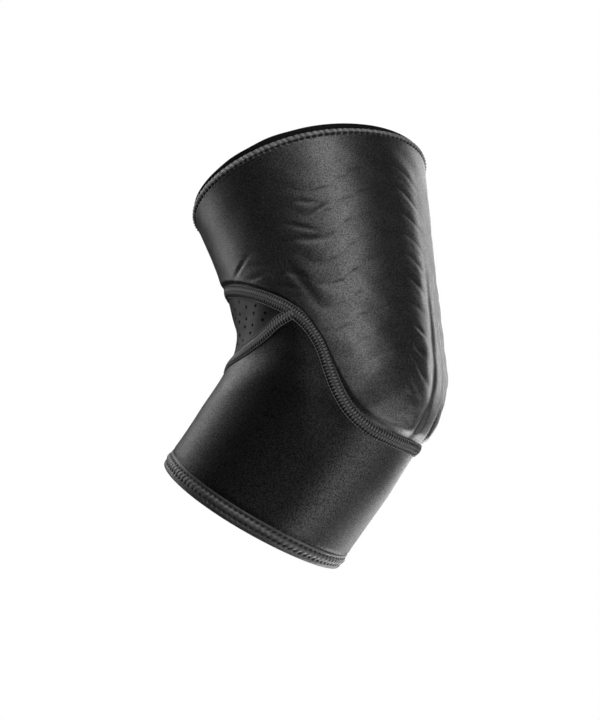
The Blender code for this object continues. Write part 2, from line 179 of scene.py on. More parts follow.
@dataclass
class SleeveForm:
    """The sleeve's outer surface, before ribs, folds and stitches."""

    upper_front_length: float = 0.0683
    upper_front_lean: float = 20.1
    lower_front_length: float = 0.0642
    lower_front_lean: float = 36.2
    upper_back_lean: float = 4.5
    lower_back_lean: float = 40.3
    upper_rim_width: float = 0.1180
    upper_rim_tilt: float = 12.7
    lower_rim_width: float = 0.0977
    lower_rim_tilt: float = 34.6
    crook_radius: float = 0.0130
    elbow_radius: float = 0.0480
    upper_front_dip: float = 0.0019
    lower_front_dip: float = 0.0014
    lower_rim_rise: float = 0.0008
    upper_rim_depth_ratio: float = 0.93
    elbow_depth_ratio: float = 0.81
    lower_rim_depth_ratio: float = 0.90
    fullness_ratio: float = 0.035
    front: list[Array] = field(init=False)
    back: list[Array] = field(init=False)
    shift: Array = field(init=False)

    def __post_init__(self) -> None:
        """Places the corners of the front and back lines, with the elbow's middle at the origin."""
        crook = np.zeros(2)
        self.front = [
            crook + self.upper_front_length * self.heading(-self.upper_front_lean),
            crook,
            crook - self.lower_front_length * self.heading(self.lower_front_lean),
        ]
        upper = self.front[0] + self.upper_rim_width * self.heading(90.0 - self.upper_rim_tilt)
        lower = self.front[2] + self.lower_rim_width * self.heading(90.0 + self.lower_rim_tilt)
        ways = np.column_stack(
            [self.heading(-self.upper_back_lean), -self.heading(self.lower_back_lean)]
        )
        reach = np.linalg.solve(ways, lower - upper)
        elbow = upper + self.heading(-self.upper_back_lean) * reach[0]
        self.back = [upper, elbow, lower]
        self.shift = np.zeros(2)
        front, back = self.lines(np.array([0.5]))
        self.shift = -0.5 * (front[0] + back[0])

    @staticmethod
    def heading(degrees_from_up: float) -> Array:
        """Unit direction in the plane of the bend, turned from +Z toward +X."""
        turn = math.radians(degrees_from_up)
        return np.array([math.sin(turn), math.cos(turn)])

    @staticmethod
    def bent_line(corners: Sequence[Array], radius: float, way: Array) -> Array:
        """Points of a line of two straight arms with a rounded corner.

        Each arm has half of the way. On an arm a point runs along the straight until the arc's
        tangent point, and then round the arc's centre by run over radius.

        Args:
            corners: Start, corner and end in the plane of the bend.
            radius: Radius of the rounding.
            way: Ways along the line, from 0 to 1.

        Returns:
            Points in the plane of the bend.
        """
        start, corner, end = corners
        arms = [start - corner, end - corner]
        lengths = [float(np.linalg.norm(arm)) for arm in arms]
        units = [arm / length for arm, length in zip(arms, lengths)]
        half_corner = 0.5 * math.acos(float(np.dot(units[0], units[1])))
        tangent = radius / math.tan(half_corner)
        middle = (units[0] + units[1]) / np.linalg.norm(units[0] + units[1])
        centre = corner + middle * radius / math.sin(half_corner)
        half_arc = radius * (math.pi / 2.0 - half_corner)
        sides = []
        for unit, length, share in zip(units, lengths, (2.0 * way, 2.0 - 2.0 * way)):
            run = (share * (length - tangent + half_arc))[..., None]
            straight = corner + unit * (length - run)
            turn = (run - (length - tangent)) / radius
            arc = centre + (corner + unit * tangent - centre) * np.cos(turn)
            arc = arc - unit * radius * np.sin(turn)
            sides.append(np.where(run < length - tangent, straight, arc))
        return np.where((way < 0.5)[..., None], sides[0], sides[1])

    def lines(self, way: Array) -> tuple[Array, Array]:
        """Front and back lines in the plane of the bend, the front one with a shallow wave."""
        front = self.bent_line(self.front, self.crook_radius, way)
        back = self.bent_line(self.back, self.elbow_radius, way)
        upper = self.upper_front_dip * np.sin(2.0 * math.pi * np.minimum(way, 0.5))
        lower = self.lower_front_dip * np.sin(2.0 * math.pi * np.maximum(way, 0.5))
        front = front + np.stack([upper - lower, np.zeros_like(way)], axis=-1)
        return front + self.shift, back + self.shift

    def surface(self, angle: Array, way: Array) -> Array:
        """Points of the surface.

        The section at a way is an oval between the front and back lines: the cosine of the angle
        runs between the lines, and the sine, times a depth ratio that dips at the elbow, across.

        Args:
            angle: Angles round the arm.
            way: Ways along the sleeve, of a shape that broadcasts with the angles.

        Returns:
            Points, with the three coordinates last.
        """
        angle, way = np.broadcast_arrays(np.asarray(angle, float), np.asarray(way, float))
        turn = np.radians(angle)
        front, back = self.lines(way)
        reach = 0.5 * (back - front)
        half_width = np.linalg.norm(reach, axis=-1)
        ends = self.upper_rim_depth_ratio * (1.0 - way) + self.lower_rim_depth_ratio * way
        mean_end = 0.5 * (self.upper_rim_depth_ratio + self.lower_rim_depth_ratio)
        depth = ends + 4.0 * way * (1.0 - way) * (self.elbow_depth_ratio - mean_end)
        flat = 0.5 * (front + back) + reach * np.cos(turn)[..., None]
        rise = self.lower_rim_rise * np.clip(2.0 * way - 1.0, 0.0, None) * np.sin(turn) ** 2
        across = np.stack([-reach[..., 1], reach[..., 0]], axis=-1)
        flat = flat + across * (-rise / half_width)[..., None]
        side = -half_width * depth * np.sin(turn) * (1.0 + self.fullness_ratio * np.cos(turn))
        return np.stack([flat[..., 0], side, flat[..., 1]], axis=-1)

    def slopes(self, angle: Array, way: Array) -> tuple[Array, Array]:
        """Changes of the surface point per degree and per unit of way, from central differences."""
        turn, step = 0.5, 0.004
        round_arm = self.surface(angle + turn, way) - self.surface(angle - turn, way)
        down_arm = self.surface(angle, way + step) - self.surface(angle, way - step)
        return round_arm / (2.0 * turn), down_arm / (2.0 * step)

    def lifted(self, angle: Array, way: Array, lift: Array) -> Array:
        """Points at a lift off the surface, along the cross product of its two slopes."""
        round_arm, down_arm = self.slopes(angle, way)
        out = unit(np.cross(round_arm, down_arm))
        return self.surface(angle, way) + out * np.asarray(lift)[..., None]


@dataclass
class Rails:
    """Lengths down the sleeve along one line for each column of a grid."""

    form: SleeveForm
    angles: Array
    steps: int = 160
    runs: Array = field(init=False)

    def __post_init__(self) -> None:
        """Adds up the lengths of short steps down every line."""
        ways = np.linspace(0.0, 1.0, self.steps + 1)
        points = self.form.surface(self.angles[None, :], ways[:, None])
        pieces = np.linalg.norm(np.diff(points, axis=0), axis=-1)
        self.runs = np.concatenate([np.zeros((1, len(self.angles))), np.cumsum(pieces, axis=0)])

    def _cell(self, ways: Array) -> tuple[Array, Array, Array]:
        """Length at the foot of each way's step, the step's own length and the share of it."""
        place = ways * self.steps
        cell = np.clip(np.floor(place), 0, self.steps - 1).astype(int)
        foot = np.take_along_axis(self.runs, cell, axis=0)
        top = np.take_along_axis(self.runs, cell + 1, axis=0)
        return foot, top - foot, place - cell

    def distance(self, ways: Array) -> Array:
        """Distances from the upper rim, beyond the rims too, for rows of ways."""
        foot, piece, share = self._cell(ways)
        return foot + piece * share

    def way_at(self, distances: Array) -> Array:
        """Ways at given distances from the upper rim, by repeated straight-line steps.

        Args:
            distances: Rows of distances, one column to each angle.

        Returns:
            Ways of the same shape.
        """
        ways = distances / self.runs[-1]
        for _ in range(8):
            _, piece, _ = self._cell(ways)
            ways = ways + (distances - self.distance(ways)) / (piece * self.steps)
        return ways


@dataclass
class SeamPath:
    """A seam's line on the sleeve, with places given by run along it, offset across it and lift."""

    form: SleeveForm
    way_of: Callable[[Array], Array]
    first_angle: float = 0.0
    last_angle: float = 360.0
    steps: int = 1440
    length: float = field(init=False)
    table: Array = field(init=False)

    def __post_init__(self) -> None:
        """Tabulates angle, way and the two slopes of the crossing direction against the run."""
        span = self.last_angle - self.first_angle
        margin = 12.0 if self.closed else 0.0
        angles = np.linspace(self.first_angle - margin, self.last_angle + margin, self.steps + 1)
        ways = self.way_of(angles)
        points = self.form.surface(angles, ways)
        along = unit(np.gradient(points, axis=0))
        round_arm, down_arm = self.form.slopes(angles, ways)
        across = np.cross(unit(np.cross(round_arm, down_arm)), along)
        rr, rd, dd = (
            np.sum(a * b, axis=-1)
            for a, b in ((round_arm, round_arm), (round_arm, down_arm), (down_arm, down_arm))
        )
        ar, ad = (np.sum(across * b, axis=-1) for b in (round_arm, down_arm))
        det = rr * dd - rd * rd
        runs = np.concatenate(
            [[0.0], np.cumsum(np.linalg.norm(np.diff(points, axis=0), axis=-1))]
        )
        start = np.interp(self.first_angle, angles, runs)
        self.length = float(np.interp(self.first_angle + span, angles, runs) - start)
        self.table = np.stack(
            [runs - start, angles, ways, (ar * dd - ad * rd) / det, (ad * rr - ar * rd) / det]
        )

    @property
    def closed(self) -> bool:
        """Whether the seam goes all the way round the arm."""
        return self.last_angle - self.first_angle >= 360.0

    def place(self, run: Array, across: Array, lift: Array) -> Array:
        """Points at a run along the seam, an offset across it (down the sleeve) and a lift.

        The offset moves the angle and the way along the seam's crossing direction, so the point
        follows the surface's own curve.

        Args:
            run: Runs along the seam in metres.
            across: Offsets across it in metres.
            lift: Lifts off the surface in metres.

        Returns:
            Points, with the three coordinates last.
        """
        run, across, lift = np.broadcast_arrays(run, across, lift)
        angle, way, turn_slope, way_slope = (
            np.interp(run, self.table[0], row) for row in self.table[1:]
        )
        return self.form.lifted(angle + turn_slope * across, way + way_slope * across, lift)


@dataclass
class WallLoop:
    """A closed wall: a closed loop of cross-section points carried round the arm.

    Rows of points go down the outer skin and back up the inner one. The face between two rows and
    two columns turns its front to the cross product of round-the-arm and along-the-loop.
    """

    points: Array
    turns: Array
    along: Array
    finish_of_row: Array
    girth: float
    closed_ring: bool = True
    painted_light_and_wear: Array | None = None

    def mesh(self, name: str) -> bpy.types.Mesh:
        """Mesh of the wall, with a UV map in shares of the girth and an attribute of painted shade,
        painted highlight and wear.

        Args:
            name: The mesh's name.

        Returns:
            The finished mesh, smooth shaded.
        """
        rows, columns = self.points.shape[:2]
        last = columns if self.closed_ring else columns - 1
        row, column = np.meshgrid(np.arange(rows), np.arange(last), indexing="ij")
        next_row, next_column = (row + 1) % rows, (column + 1) % columns
        corner_rows = np.stack([row, row, next_row, next_row], axis=-1)
        corner_columns = np.stack([column, next_column, next_column, column], axis=-1)
        faces = (corner_rows * columns + corner_columns).reshape(-1, 4).tolist()
        turns = np.append(self.turns, 1.0) if self.closed_ring else self.turns
        right = np.stack([column, column + 1, column + 1, column], axis=-1)
        u = turns[right]
        v = self.along[corner_rows, corner_columns] / self.girth
        uv = np.stack([u, v], axis=-1).reshape(-1, 2)
        finishes = np.broadcast_to(self.finish_of_row[:, None], row.shape).ravel()
        if not self.closed_ring:
            first = (np.arange(rows) * columns).tolist()
            faces += [first, [index + columns - 1 for index in reversed(first)]]
            uv = np.concatenate([uv, np.zeros((2 * rows, 2))])
            finishes = np.append(finishes, [0, 0])
        mesh = bpy.data.meshes.new(name)
        mesh.from_pydata(self.points.reshape(-1, 3).tolist(), [], faces)
        mesh.uv_layers.new(name="cloth").data.foreach_set("uv", uv.astype(np.float32).ravel())
        mesh.polygons.foreach_set("material_index", finishes.astype(np.int32))
        painted_light_and_wear = np.zeros(rows * columns) if self.painted_light_and_wear is None else self.painted_light_and_wear.ravel()
        # Point attribute of painted shade and highlight, and of wear, read by the finishes.
        layer = mesh.attributes.new(name="painted_light_and_wear", type="FLOAT", domain="POINT")
        layer.data.foreach_set("value", painted_light_and_wear.astype(np.float32))
        mesh.update()
        mesh.shade_smooth()
        mesh.set_sharp_from_angle(angle=math.radians(60.0))
        return mesh


@dataclass
class ThreadBundle:
    """Many short threads, each a tapered tube along its own path."""

    paths: Array
    outs: Array
    radius: float
    sides: int = 6
    end_share: float = 0.45

    def mesh(self, name: str) -> bpy.types.Mesh:
        """Mesh of all the tubes.

        A ring stands on each path point, in the plane of the surface's outward direction and its
        cross product with the path's direction. Its radius is the thread's, times a half sine
        toward the two ends, which closed caps finish.

        Args:
            name: The mesh's name.

        Returns:
            The finished mesh.
        """
        count, steps = self.paths.shape[:2]
        along = unit(np.gradient(self.paths, axis=1))
        beside = unit(np.cross(along, self.outs))
        up = np.cross(beside, along)
        share = np.linspace(0.0, 1.0, steps)
        swell = self.end_share + (1.0 - self.end_share) * np.sin(math.pi * share) ** 0.6
        turn = 2.0 * math.pi * np.arange(self.sides) / self.sides
        ring = (
            beside[:, :, None, :] * np.cos(turn)[None, None, :, None]
            + up[:, :, None, :] * np.sin(turn)[None, None, :, None]
        )
        points = self.paths[:, :, None, :] + self.radius * swell[None, :, None, None] * ring
        thread, step, side = np.meshgrid(
            np.arange(count), np.arange(steps - 1), np.arange(self.sides), indexing="ij"
        )
        start = (thread * steps + step) * self.sides
        following = (side + 1) % self.sides
        faces = np.stack(
            [start + side, start + self.sides + side, start + self.sides + following,
             start + following], axis=-1,
        ).reshape(-1, 4).tolist()
        ends = np.arange(count)[:, None] * steps * self.sides + np.arange(self.sides)
        faces += ends.tolist()
        faces += (ends + (steps - 1) * self.sides)[:, ::-1].tolist()
        mesh = bpy.data.meshes.new(name)
        mesh.from_pydata(points.reshape(-1, 3).tolist(), [], faces)
        corners = np.stack(
            [np.stack([side, side, side + 1, side + 1], axis=-1) / self.sides,
             np.stack([share[step], share[step + 1], share[step + 1], share[step]], axis=-1)],
            axis=-1,
        ).reshape(-1, 2)
        caps = np.zeros((2 * count * self.sides, 2))
        uv = np.concatenate([corners, caps]).astype(np.float32)
        mesh.uv_layers.new(name="cloth").data.foreach_set("uv", uv.ravel())
        mesh.update()
        turn_faces_out(mesh).shade_smooth()
        return mesh


# Finishes


@dataclass(frozen=True)
class Signal:
    """A value that varies over a surface, written in formulas as a number is."""

    bench: "FinishBench"
    socket: bpy.types.NodeSocket

    def __add__(self, other: "Signal | float") -> "Signal":
        """Sum."""
        return self.bench.math("ADD", self, other)

    def __radd__(self, other: float) -> "Signal":
        """Sum with a number first."""
        return self.bench.math("ADD", other, self)

    def __sub__(self, other: "Signal | float") -> "Signal":
        """Difference."""
        return self.bench.math("SUBTRACT", self, other)

    def __rsub__(self, other: float) -> "Signal":
        """Difference from a number."""
        return self.bench.math("SUBTRACT", other, self)

    def __mul__(self, other: "Signal | float") -> "Signal":
        """Product."""
        return self.bench.math("MULTIPLY", self, other)

    def __rmul__(self, other: float) -> "Signal":
        """Product with a number first."""
        return self.bench.math("MULTIPLY", other, self)

    def __truediv__(self, other: "Signal | float") -> "Signal":
        """Quotient."""
        return self.bench.math("DIVIDE", self, other)

    def __pow__(self, other: float) -> "Signal":
        """Power."""
        return self.bench.math("POWER", self, other)

    def wave(self) -> "Signal":
        """Sine of the value in full turns."""
        return self.bench.math("SINE", self * (2.0 * math.pi), 0.0)

    def rise(self, low: float, high: float) -> "Signal":
        """Smooth rise from 0 at the low value to 1 at the high one."""
        return self.bench.node(
            "ShaderNodeMapRange", {"interpolation_type": "SMOOTHSTEP"},
            {"Value": self, "From Min": low, "From Max": high},
        )


class FinishBench:
    """Makes the nodes of one material."""

    def __init__(self, name: str) -> None:
        """Starts a material with only its output and its shader.

        Args:
            name: The material's name.
        """
        self.material = bpy.data.materials.new(name)
        self.material.use_nodes = True
        self.tree = self.material.node_tree
        self.shader = self.tree.nodes["Principled BSDF"]

    def node(self, kind: str, settings: dict, sockets: dict, output: int | str = 0) -> Signal:
        """Adds one node.

        Args:
            kind: The node's type.
            settings: Its own settings, set before the sockets.
            sockets: Input names or numbers with the value or signal that each takes.
            output: Name or number of the output to hand on.

        Returns:
            The output as a signal.
        """
        made = self.tree.nodes.new(kind)
        for name, value in settings.items():
            setattr(made, name, value)
        for name, value in sockets.items():
            if isinstance(value, Signal):
                self.tree.links.new(value.socket, made.inputs[name])
            else:
                made.inputs[name].default_value = value
        return Signal(self, made.outputs[output])

    def math(self, operation: str, first: Signal | float, second: Signal | float) -> Signal:
        """Adds one Math node."""
        return self.node("ShaderNodeMath", {"operation": operation}, {0: first, 1: second})

    def places(self) -> Signal:
        """Object coordinates, in metres."""
        return self.node("ShaderNodeTexCoord", {}, {}, "Object")

    def cloth_map(self, repeats: float) -> tuple[Signal, Signal]:
        """The piece's own UV map, in whole repeats round the arm and the same size along it."""
        uv = self.node("ShaderNodeUVMap", {"uv_map": "cloth"}, {})
        split = self.node("ShaderNodeSeparateXYZ", {}, {0: uv})
        across = Signal(self, split.socket.node.outputs["X"]) * repeats
        along = Signal(self, split.socket.node.outputs["Y"]) * repeats
        return across, along

    def painted_light_and_wear(self) -> Signal:
        """The attribute of painted light and wear: 1 in needle holes and high in creases and folds as
        painted shade, below 0 where wear lightens rib tops and on painted highlights.
        """
        return self.node("ShaderNodeAttribute", {"attribute_name": "painted_light_and_wear"}, {}, "Fac")

    def noise(self, scale: float, detail: float, rough: float = 0.5) -> Signal:
        """Noise from 0 to 1 on Object coordinates."""
        return self.node(
            "ShaderNodeTexNoise", {},
            {"Vector": self.places(), "Scale": scale, "Detail": detail, "Roughness": rough},
        )

    def blend(self, share: Signal, first: Sequence[float] | Signal,
              second: Sequence[float] | Signal) -> Signal:
        """Colour between two colours."""
        return self.node(
            "ShaderNodeMix", {"data_type": "RGBA"}, {0: share, 6: first, 7: second}, 2
        )

    def dress(self, colour: Signal, roughness: Signal | float, height: Signal,
              constants: dict[str, object], coat: Signal | None = None) -> bpy.types.Material:
        """Links the shader's sockets.

        Args:
            colour: Base colour.
            roughness: Roughness.
            height: Relief in metres.
            constants: Shader sockets with one value all over.
            coat: Share of shiny fibres, where the cloth has them.

        Returns:
            The finished material.
        """
        bump = self.node("ShaderNodeBump", {}, {"Strength": 1.0, "Distance": 1.0, "Height": height})
        self.tree.links.new(colour.socket, self.shader.inputs["Base Color"])
        self.tree.links.new(bump.socket, self.shader.inputs["Normal"])
        if isinstance(roughness, Signal):
            self.tree.links.new(roughness.socket, self.shader.inputs["Roughness"])
        else:
            self.shader.inputs["Roughness"].default_value = roughness
        if coat is not None:
            self.tree.links.new(coat.socket, self.shader.inputs["Coat Weight"])
        for name, value in constants.items():
            self.shader.inputs[name].default_value = value
        return self.material


def grey(level: float) -> tuple[float, float, float, float]:
    """Neutral colour of a level."""
    return (level, level, level, 1.0)


class Finish:
    """Look of one cloth."""

    def material(self, name: str) -> bpy.types.Material:
        """Builds the material.

        Args:
            name: The material's name.

        Returns:
            The material.
        """
        raise NotImplementedError


@dataclass(frozen=True)
class JerseyFinish(Finish):
    """Brushed jersey: heathered charcoal with fine loops, lighter from wear on the ribs' tops, with
    painted shade darkening its creases and folds.
    """

    dark: float = 0.002
    light: float = 0.015
    grain_scale: float = 1900.0
    cloud_scale: float = 280.0
    cloud_height: float = 0.00004
    mottle_scale: float = 90.0
    loops_round: int = 400
    loop_height: float = 0.00001
    grain_height: float = 0.00008
    roughness: float = 0.40
    grain_roughness: float = 0.06
    sheen: float = 0.02
    crease_roughness: float = 0.35
    crease_shade: float = 0.45
    specular: float = 0.22
    fibre_low: float = 0.10
    fibre_rise: float = 0.90
    fibre_roughness: float = 0.41

    def material(self, name: str) -> bpy.types.Material:
        """Builds the material."""
        bench = FinishBench(name)
        across, along = bench.cloth_map(self.loops_round)
        loops = (across.wave() * (along + 0.25).wave()) * 0.5 + 0.5
        grain = bench.noise(self.grain_scale, 2.0, 0.6)
        fibres = grain.rise(0.34, 0.66)
        cloud = bench.noise(self.cloud_scale, 2.0)
        mottle = bench.noise(self.mottle_scale, 4.0)
        painted_light_and_wear = bench.painted_light_and_wear()
        share = fibres * 0.66 + mottle.rise(0.35, 0.70) * 0.18 + loops * 0.10
        # Painted shade: creases, folds and the tuck darken the colour and take away the fibres' shine;
        # wear on the rib tops lightens it.
        tone_with_wear_and_painted_shade = share - painted_light_and_wear * self.crease_shade
        colour = bench.blend(tone_with_wear_and_painted_shade.rise(0.0, 1.0), grey(self.dark), grey(self.light))
        roughness = self.roughness + fibres * self.grain_roughness
        roughness = roughness + painted_light_and_wear.rise(0.15, 1.0) * self.crease_roughness
        height = loops * self.loop_height + grain * self.grain_height
        height = height + cloud * self.cloud_height
        return bench.dress(
            colour, roughness, height,
            {"Sheen Weight": self.sheen, "Sheen Roughness": 0.45,
             "Specular IOR Level": self.specular, "Coat Roughness": self.fibre_roughness},
            (fibres * self.fibre_rise + self.fibre_low) * (1.0 - painted_light_and_wear * self.crease_shade),
        )


@dataclass(frozen=True)
class KnitFinish(Finish):
    """Close warp knit: small dots in slanting rows, near black."""

    dark: float = 0.0002
    light: float = 0.0030
    dots_round: int = 250
    dot_height: float = 0.000016
    dot_roughness: float = 0.03
    fuzz_scale: float = 1900.0
    fuzz_height: float = 0.00008
    fuzz_roughness: float = 0.08
    mottle_scale: float = 60.0
    roughness: float = 0.42
    sheen: float = 0.01
    specular: float = 0.10
    fibre_share: float = 0.66
    fibre_roughness: float = 0.42

    def material(self, name: str) -> bpy.types.Material:
        """Builds the material."""
        bench = FinishBench(name)
        across, along = bench.cloth_map(self.dots_round)
        slant = (across + along).wave() * 0.5 + 0.5
        cross = (across - along).wave() * 0.5 + 0.5
        dots = slant * (0.15 + 0.85 * cross)
        fuzz = bench.noise(self.fuzz_scale, 2.0, 0.6)
        fibres = fuzz.rise(0.34, 0.66)
        mottle = bench.noise(self.mottle_scale, 4.0)
        share = dots * 0.16 + fibres * 0.68 + mottle.rise(0.3, 0.7) * 0.16
        colour = bench.blend(share.rise(0.0, 1.0), grey(self.dark), grey(self.light))
        roughness = self.roughness + (1.0 - dots) * self.dot_roughness
        roughness = roughness + fibres * self.fuzz_roughness
        height = dots * self.dot_height + fuzz * self.fuzz_height
        return bench.dress(
            colour, roughness, height,
            {"Sheen Weight": self.sheen, "Sheen Roughness": 0.4,
             "Specular IOR Level": self.specular, "Coat Roughness": self.fibre_roughness},
            fibres * self.fibre_share,
        )


@dataclass(frozen=True)
class VentFinish(Finish):
    """Thin smooth cloth of the crook, with a soft gloss and dark punched holes."""

    # The vent cloth's own dark tone, set darker still as painted shade of the crook.
    dark: float = 0.001
    light: float = 0.008
    loops_round: int = 520
    loop_height: float = 0.00002
    fuzz_height: float = 0.00008
    roughness: float = 0.44
    sheen: float = 0.02
    specular: float = 0.24

    def material(self, name: str) -> bpy.types.Material:
        """Builds the material."""
        bench = FinishBench(name)
        across, along = bench.cloth_map(self.loops_round)
        loops = (across.wave() * along.wave()) * 0.5 + 0.5
        mottle = bench.noise(120.0, 4.0)
        fuzz = bench.noise(1900.0, 2.0)
        share = loops * 0.25 + mottle.rise(0.3, 0.7) * 0.35 + fuzz * 0.30
        colour = bench.blend(share.rise(0.0, 1.0), grey(self.dark), grey(self.light))
        height = loops * self.loop_height + fuzz * self.fuzz_height
        return bench.dress(
            colour, self.roughness + fuzz * 0.1, height,
            {"Sheen Weight": self.sheen, "Specular IOR Level": self.specular},
        )


@dataclass(frozen=True)
class HemFinish(Finish):
    """Turned edge: the panel's cloth pulled round, lighter on its puckers and with painted shade in its
    holes.
    """

    # The upper edge's levels, far lighter than the jersey's: partly the overlock thread's own tone, partly
    # painted light.
    dark: float = 0.003
    light: float = 0.150
    roughness: float = 0.44
    sheen: float = 0.08
    specular: float = 0.5
    fuzz_height: float = 0.00008
    hole_roughness: float = 0.4

    def material(self, name: str) -> bpy.types.Material:
        """Builds the material."""
        bench = FinishBench(name)
        fuzz = bench.noise(1000.0, 3.0, 0.65)
        mottle = bench.noise(160.0, 3.0)
        painted_light_and_wear = bench.painted_light_and_wear()
        share = 0.28 + fuzz.rise(0.3, 0.7) * 0.30 + mottle.rise(0.3, 0.7) * 0.12 - painted_light_and_wear * 0.75
        colour = bench.blend(share.rise(0.0, 1.0), grey(self.dark), grey(self.light))
        height = fuzz * self.fuzz_height
        roughness = self.roughness + fuzz * 0.1 + painted_light_and_wear.rise(0.1, 0.9) * self.hole_roughness
        return bench.dress(
            colour, roughness, height,
            {"Sheen Weight": self.sheen, "Sheen Roughness": 0.45,
             "Specular IOR Level": self.specular},
        )


@dataclass(frozen=True)
class ThreadFinish(Finish):
    """Spun sewing thread with its twist."""

    dark: float = 0.020
    light: float = 0.085
    twists: float = 3.0
    roughness: float = 0.50
    sheen: float = 0.15

    def material(self, name: str) -> bpy.types.Material:
        """Builds the material."""
        bench = FinishBench(name)
        across, along = bench.cloth_map(1.0)
        twist = (across + along * self.twists).wave() * 0.5 + 0.5
        fuzz = bench.noise(2400.0, 2.0)
        share = twist * 0.6 + fuzz * 0.4
        colour = bench.blend(share.rise(0.1, 0.9), grey(self.dark), grey(self.light))
        height = twist * 0.00004 + fuzz * 0.00002
        return bench.dress(
            colour, self.roughness + fuzz * 0.1, height,
            {"Sheen Weight": self.sheen, "Sheen Roughness": 0.4, "Specular IOR Level": 0.5},
        )


@dataclass(frozen=True)
class LiningFinish(Finish):
    """Inner cloth: flat loops in rows, dull and nearly black."""

    dark: float = 0.006
    light: float = 0.026
    loops_round: int = 190
    loop_height: float = 0.00012
    roughness: float = 0.80

    def material(self, name: str) -> bpy.types.Material:
        """Builds the material."""
        bench = FinishBench(name)
        across, along = bench.cloth_map(self.loops_round)
        rows = along.wave() * 0.5 + 0.5
        loops = (across + 0.25 * along.wave()).wave() * 0.5 + 0.5
        fuzz = bench.noise(1300.0, 3.0, 0.6)
        share = rows * 0.35 + loops * 0.30 + fuzz.rise(0.3, 0.7) * 0.35
        colour = bench.blend(share.rise(0.0, 1.0), grey(self.dark), grey(self.light))
        height = rows * loops * self.loop_height + fuzz * 0.00005
        return bench.dress(colour, self.roughness + fuzz * 0.1, height,
                           {"Specular IOR Level": 0.3})


class Cloth(Enum):
    """The finishes of the brace, by the name of the material that carries each."""

    JERSEY = "quilted_jersey"
    KNIT = "dotted_knit"
    VENT = "vent_cloth"
    UPPER_EDGE = "upper_edge"
    LOWER_EDGE = "lower_edge"
    SEAM_BAND = "seam_band"
    LIP_WITH_PAINTED_SHADE = "lip_with_painted_shade"
    THREAD = "sewing_thread"
    LINING = "inner_loops"


@dataclass
class Wardrobe:
    """Builds each finish once and hands it out."""

    made: dict[Cloth, bpy.types.Material] = field(default_factory=dict)

    def get(self, cloth: Cloth) -> bpy.types.Material:
        """The material of a finish."""
        recipes = {
            Cloth.JERSEY: JerseyFinish(),
            Cloth.KNIT: KnitFinish(),
            Cloth.VENT: VentFinish(),
            # The turned edges are the panels' own cloth, set many times lighter than the panels: partly
            # the stitching's lighter thread, partly painted light on the edges.
            Cloth.UPPER_EDGE: HemFinish(),
            Cloth.LOWER_EDGE: HemFinish(dark=0.001, light=0.034),
            Cloth.SEAM_BAND: HemFinish(dark=0.001, light=0.008, roughness=0.55, sheen=0.0,
                                       specular=0.2),
            # The lip: the inner cloth's edge, many times darker than the inner cloth, as painted shade.
            Cloth.LIP_WITH_PAINTED_SHADE: HemFinish(dark=0.0006, light=0.0030, roughness=0.80, sheen=0.0,
                                     specular=0.12),
            Cloth.THREAD: ThreadFinish(),
            Cloth.LINING: LiningFinish(),
        }
        if cloth not in self.made:
            self.made[cloth] = recipes[cloth].material(cloth.value)
        return self.made[cloth]


def add_piece(name: str, mesh: bpy.types.Mesh, finishes: Sequence[bpy.types.Material]) -> bpy.types.Object:
    """Puts a finished mesh into the scene, at the origin, riding on the frame.

    Args:
        name: The piece's name.
        mesh: Its mesh, in place.
        finishes: Its materials, in the order of the mesh's material numbers.

    Returns:
        The piece.
    """
    piece = into_scene(bpy.data.objects.new(name, mesh))
    for finish in finishes:
        mesh.materials.append(finish)
    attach(piece, "root")
    return piece


def ring_angles(columns: int) -> Array:
    """Angles of evenly spaced columns all round the arm, from the back line."""
    return np.arange(columns) * (360.0 / columns)


def wander(angles: Array, distance: Array, reach: float, turns: int, seed: int) -> Array:
    """Slow uneven drift between about -1 and 1 that closes round the arm.

    It is a sum of six waves with whole numbers of turns round the arm and seeded phases and
    lengths along it.

    Args:
        angles: Angles round the arm.
        distance: Distances down the sleeve.
        reach: Typical length of a wave along the sleeve.
        turns: Most waves round the arm.
        seed: Seed of the phases.

    Returns:
        The drift at each place.
    """
    dice = np.random.default_rng(seed)
    total = np.zeros(np.broadcast(angles, distance).shape)
    for _ in range(6):
        round_arm = int(dice.integers(1, turns + 1))
        length = reach * dice.uniform(0.7, 1.6) * dice.choice([-1.0, 1.0])
        phase = dice.uniform(0.0, 2.0 * math.pi)
        total += np.sin(np.radians(angles) * round_arm + 2.0 * math.pi * distance / length + phase)
    return total / 2.5


# Panels


def rows_between(rails: Rails, first: Array, last: Array,
                 share: Array) -> tuple[Array, Array, Array]:
    """Places of a grid with its rows at given shares of the way between two edges.

    Args:
        rails: Lines down the sleeve, one to a column.
        first: Distances of the upper edge.
        last: Distances of the lower edge.
        share: One share to a row, in a column.

    Returns:
        Distances, ways and angles of the grid.
    """
    distance = first * (1.0 - share) + last * share
    ways = rails.way_at(distance)
    return distance, ways, np.broadcast_to(rails.angles, ways.shape)


def down_shares(rows: int) -> Array:
    """Shares from 0 to 1 in a column."""
    return np.linspace(0.0, 1.0, rows)[:, None]


def back_shares(rows: int) -> Array:
    """Shares from 1 back to 0 in a column."""
    return np.linspace(1.0, 0.0, rows)[:, None]


def lining_of(rails: Rails, edges: Sequence[Array], rows: int,
              thickness: float) -> tuple[Array, Array]:
    """Inner side of a panel, from its lower edge back to its upper one.

    Args:
        rails: Lines down the sleeve, one to a column.
        edges: Distances of the upper and the lower edge.
        rows: Rows of the grid.
        thickness: How far it lies under the surface.

    Returns:
        Its points and their distances.
    """
    distance, ways, grid = rows_between(rails, *edges, back_shares(rows))
    return rails.form.lifted(grid, ways, np.full(ways.shape, -thickness)), distance


def lined(rows: int, lining_rows: int) -> Array:
    """Material number of each row of a lined wall: 0 outside, 1 on the lining."""
    return np.where(np.arange(rows + lining_rows) < rows, 0, 1)


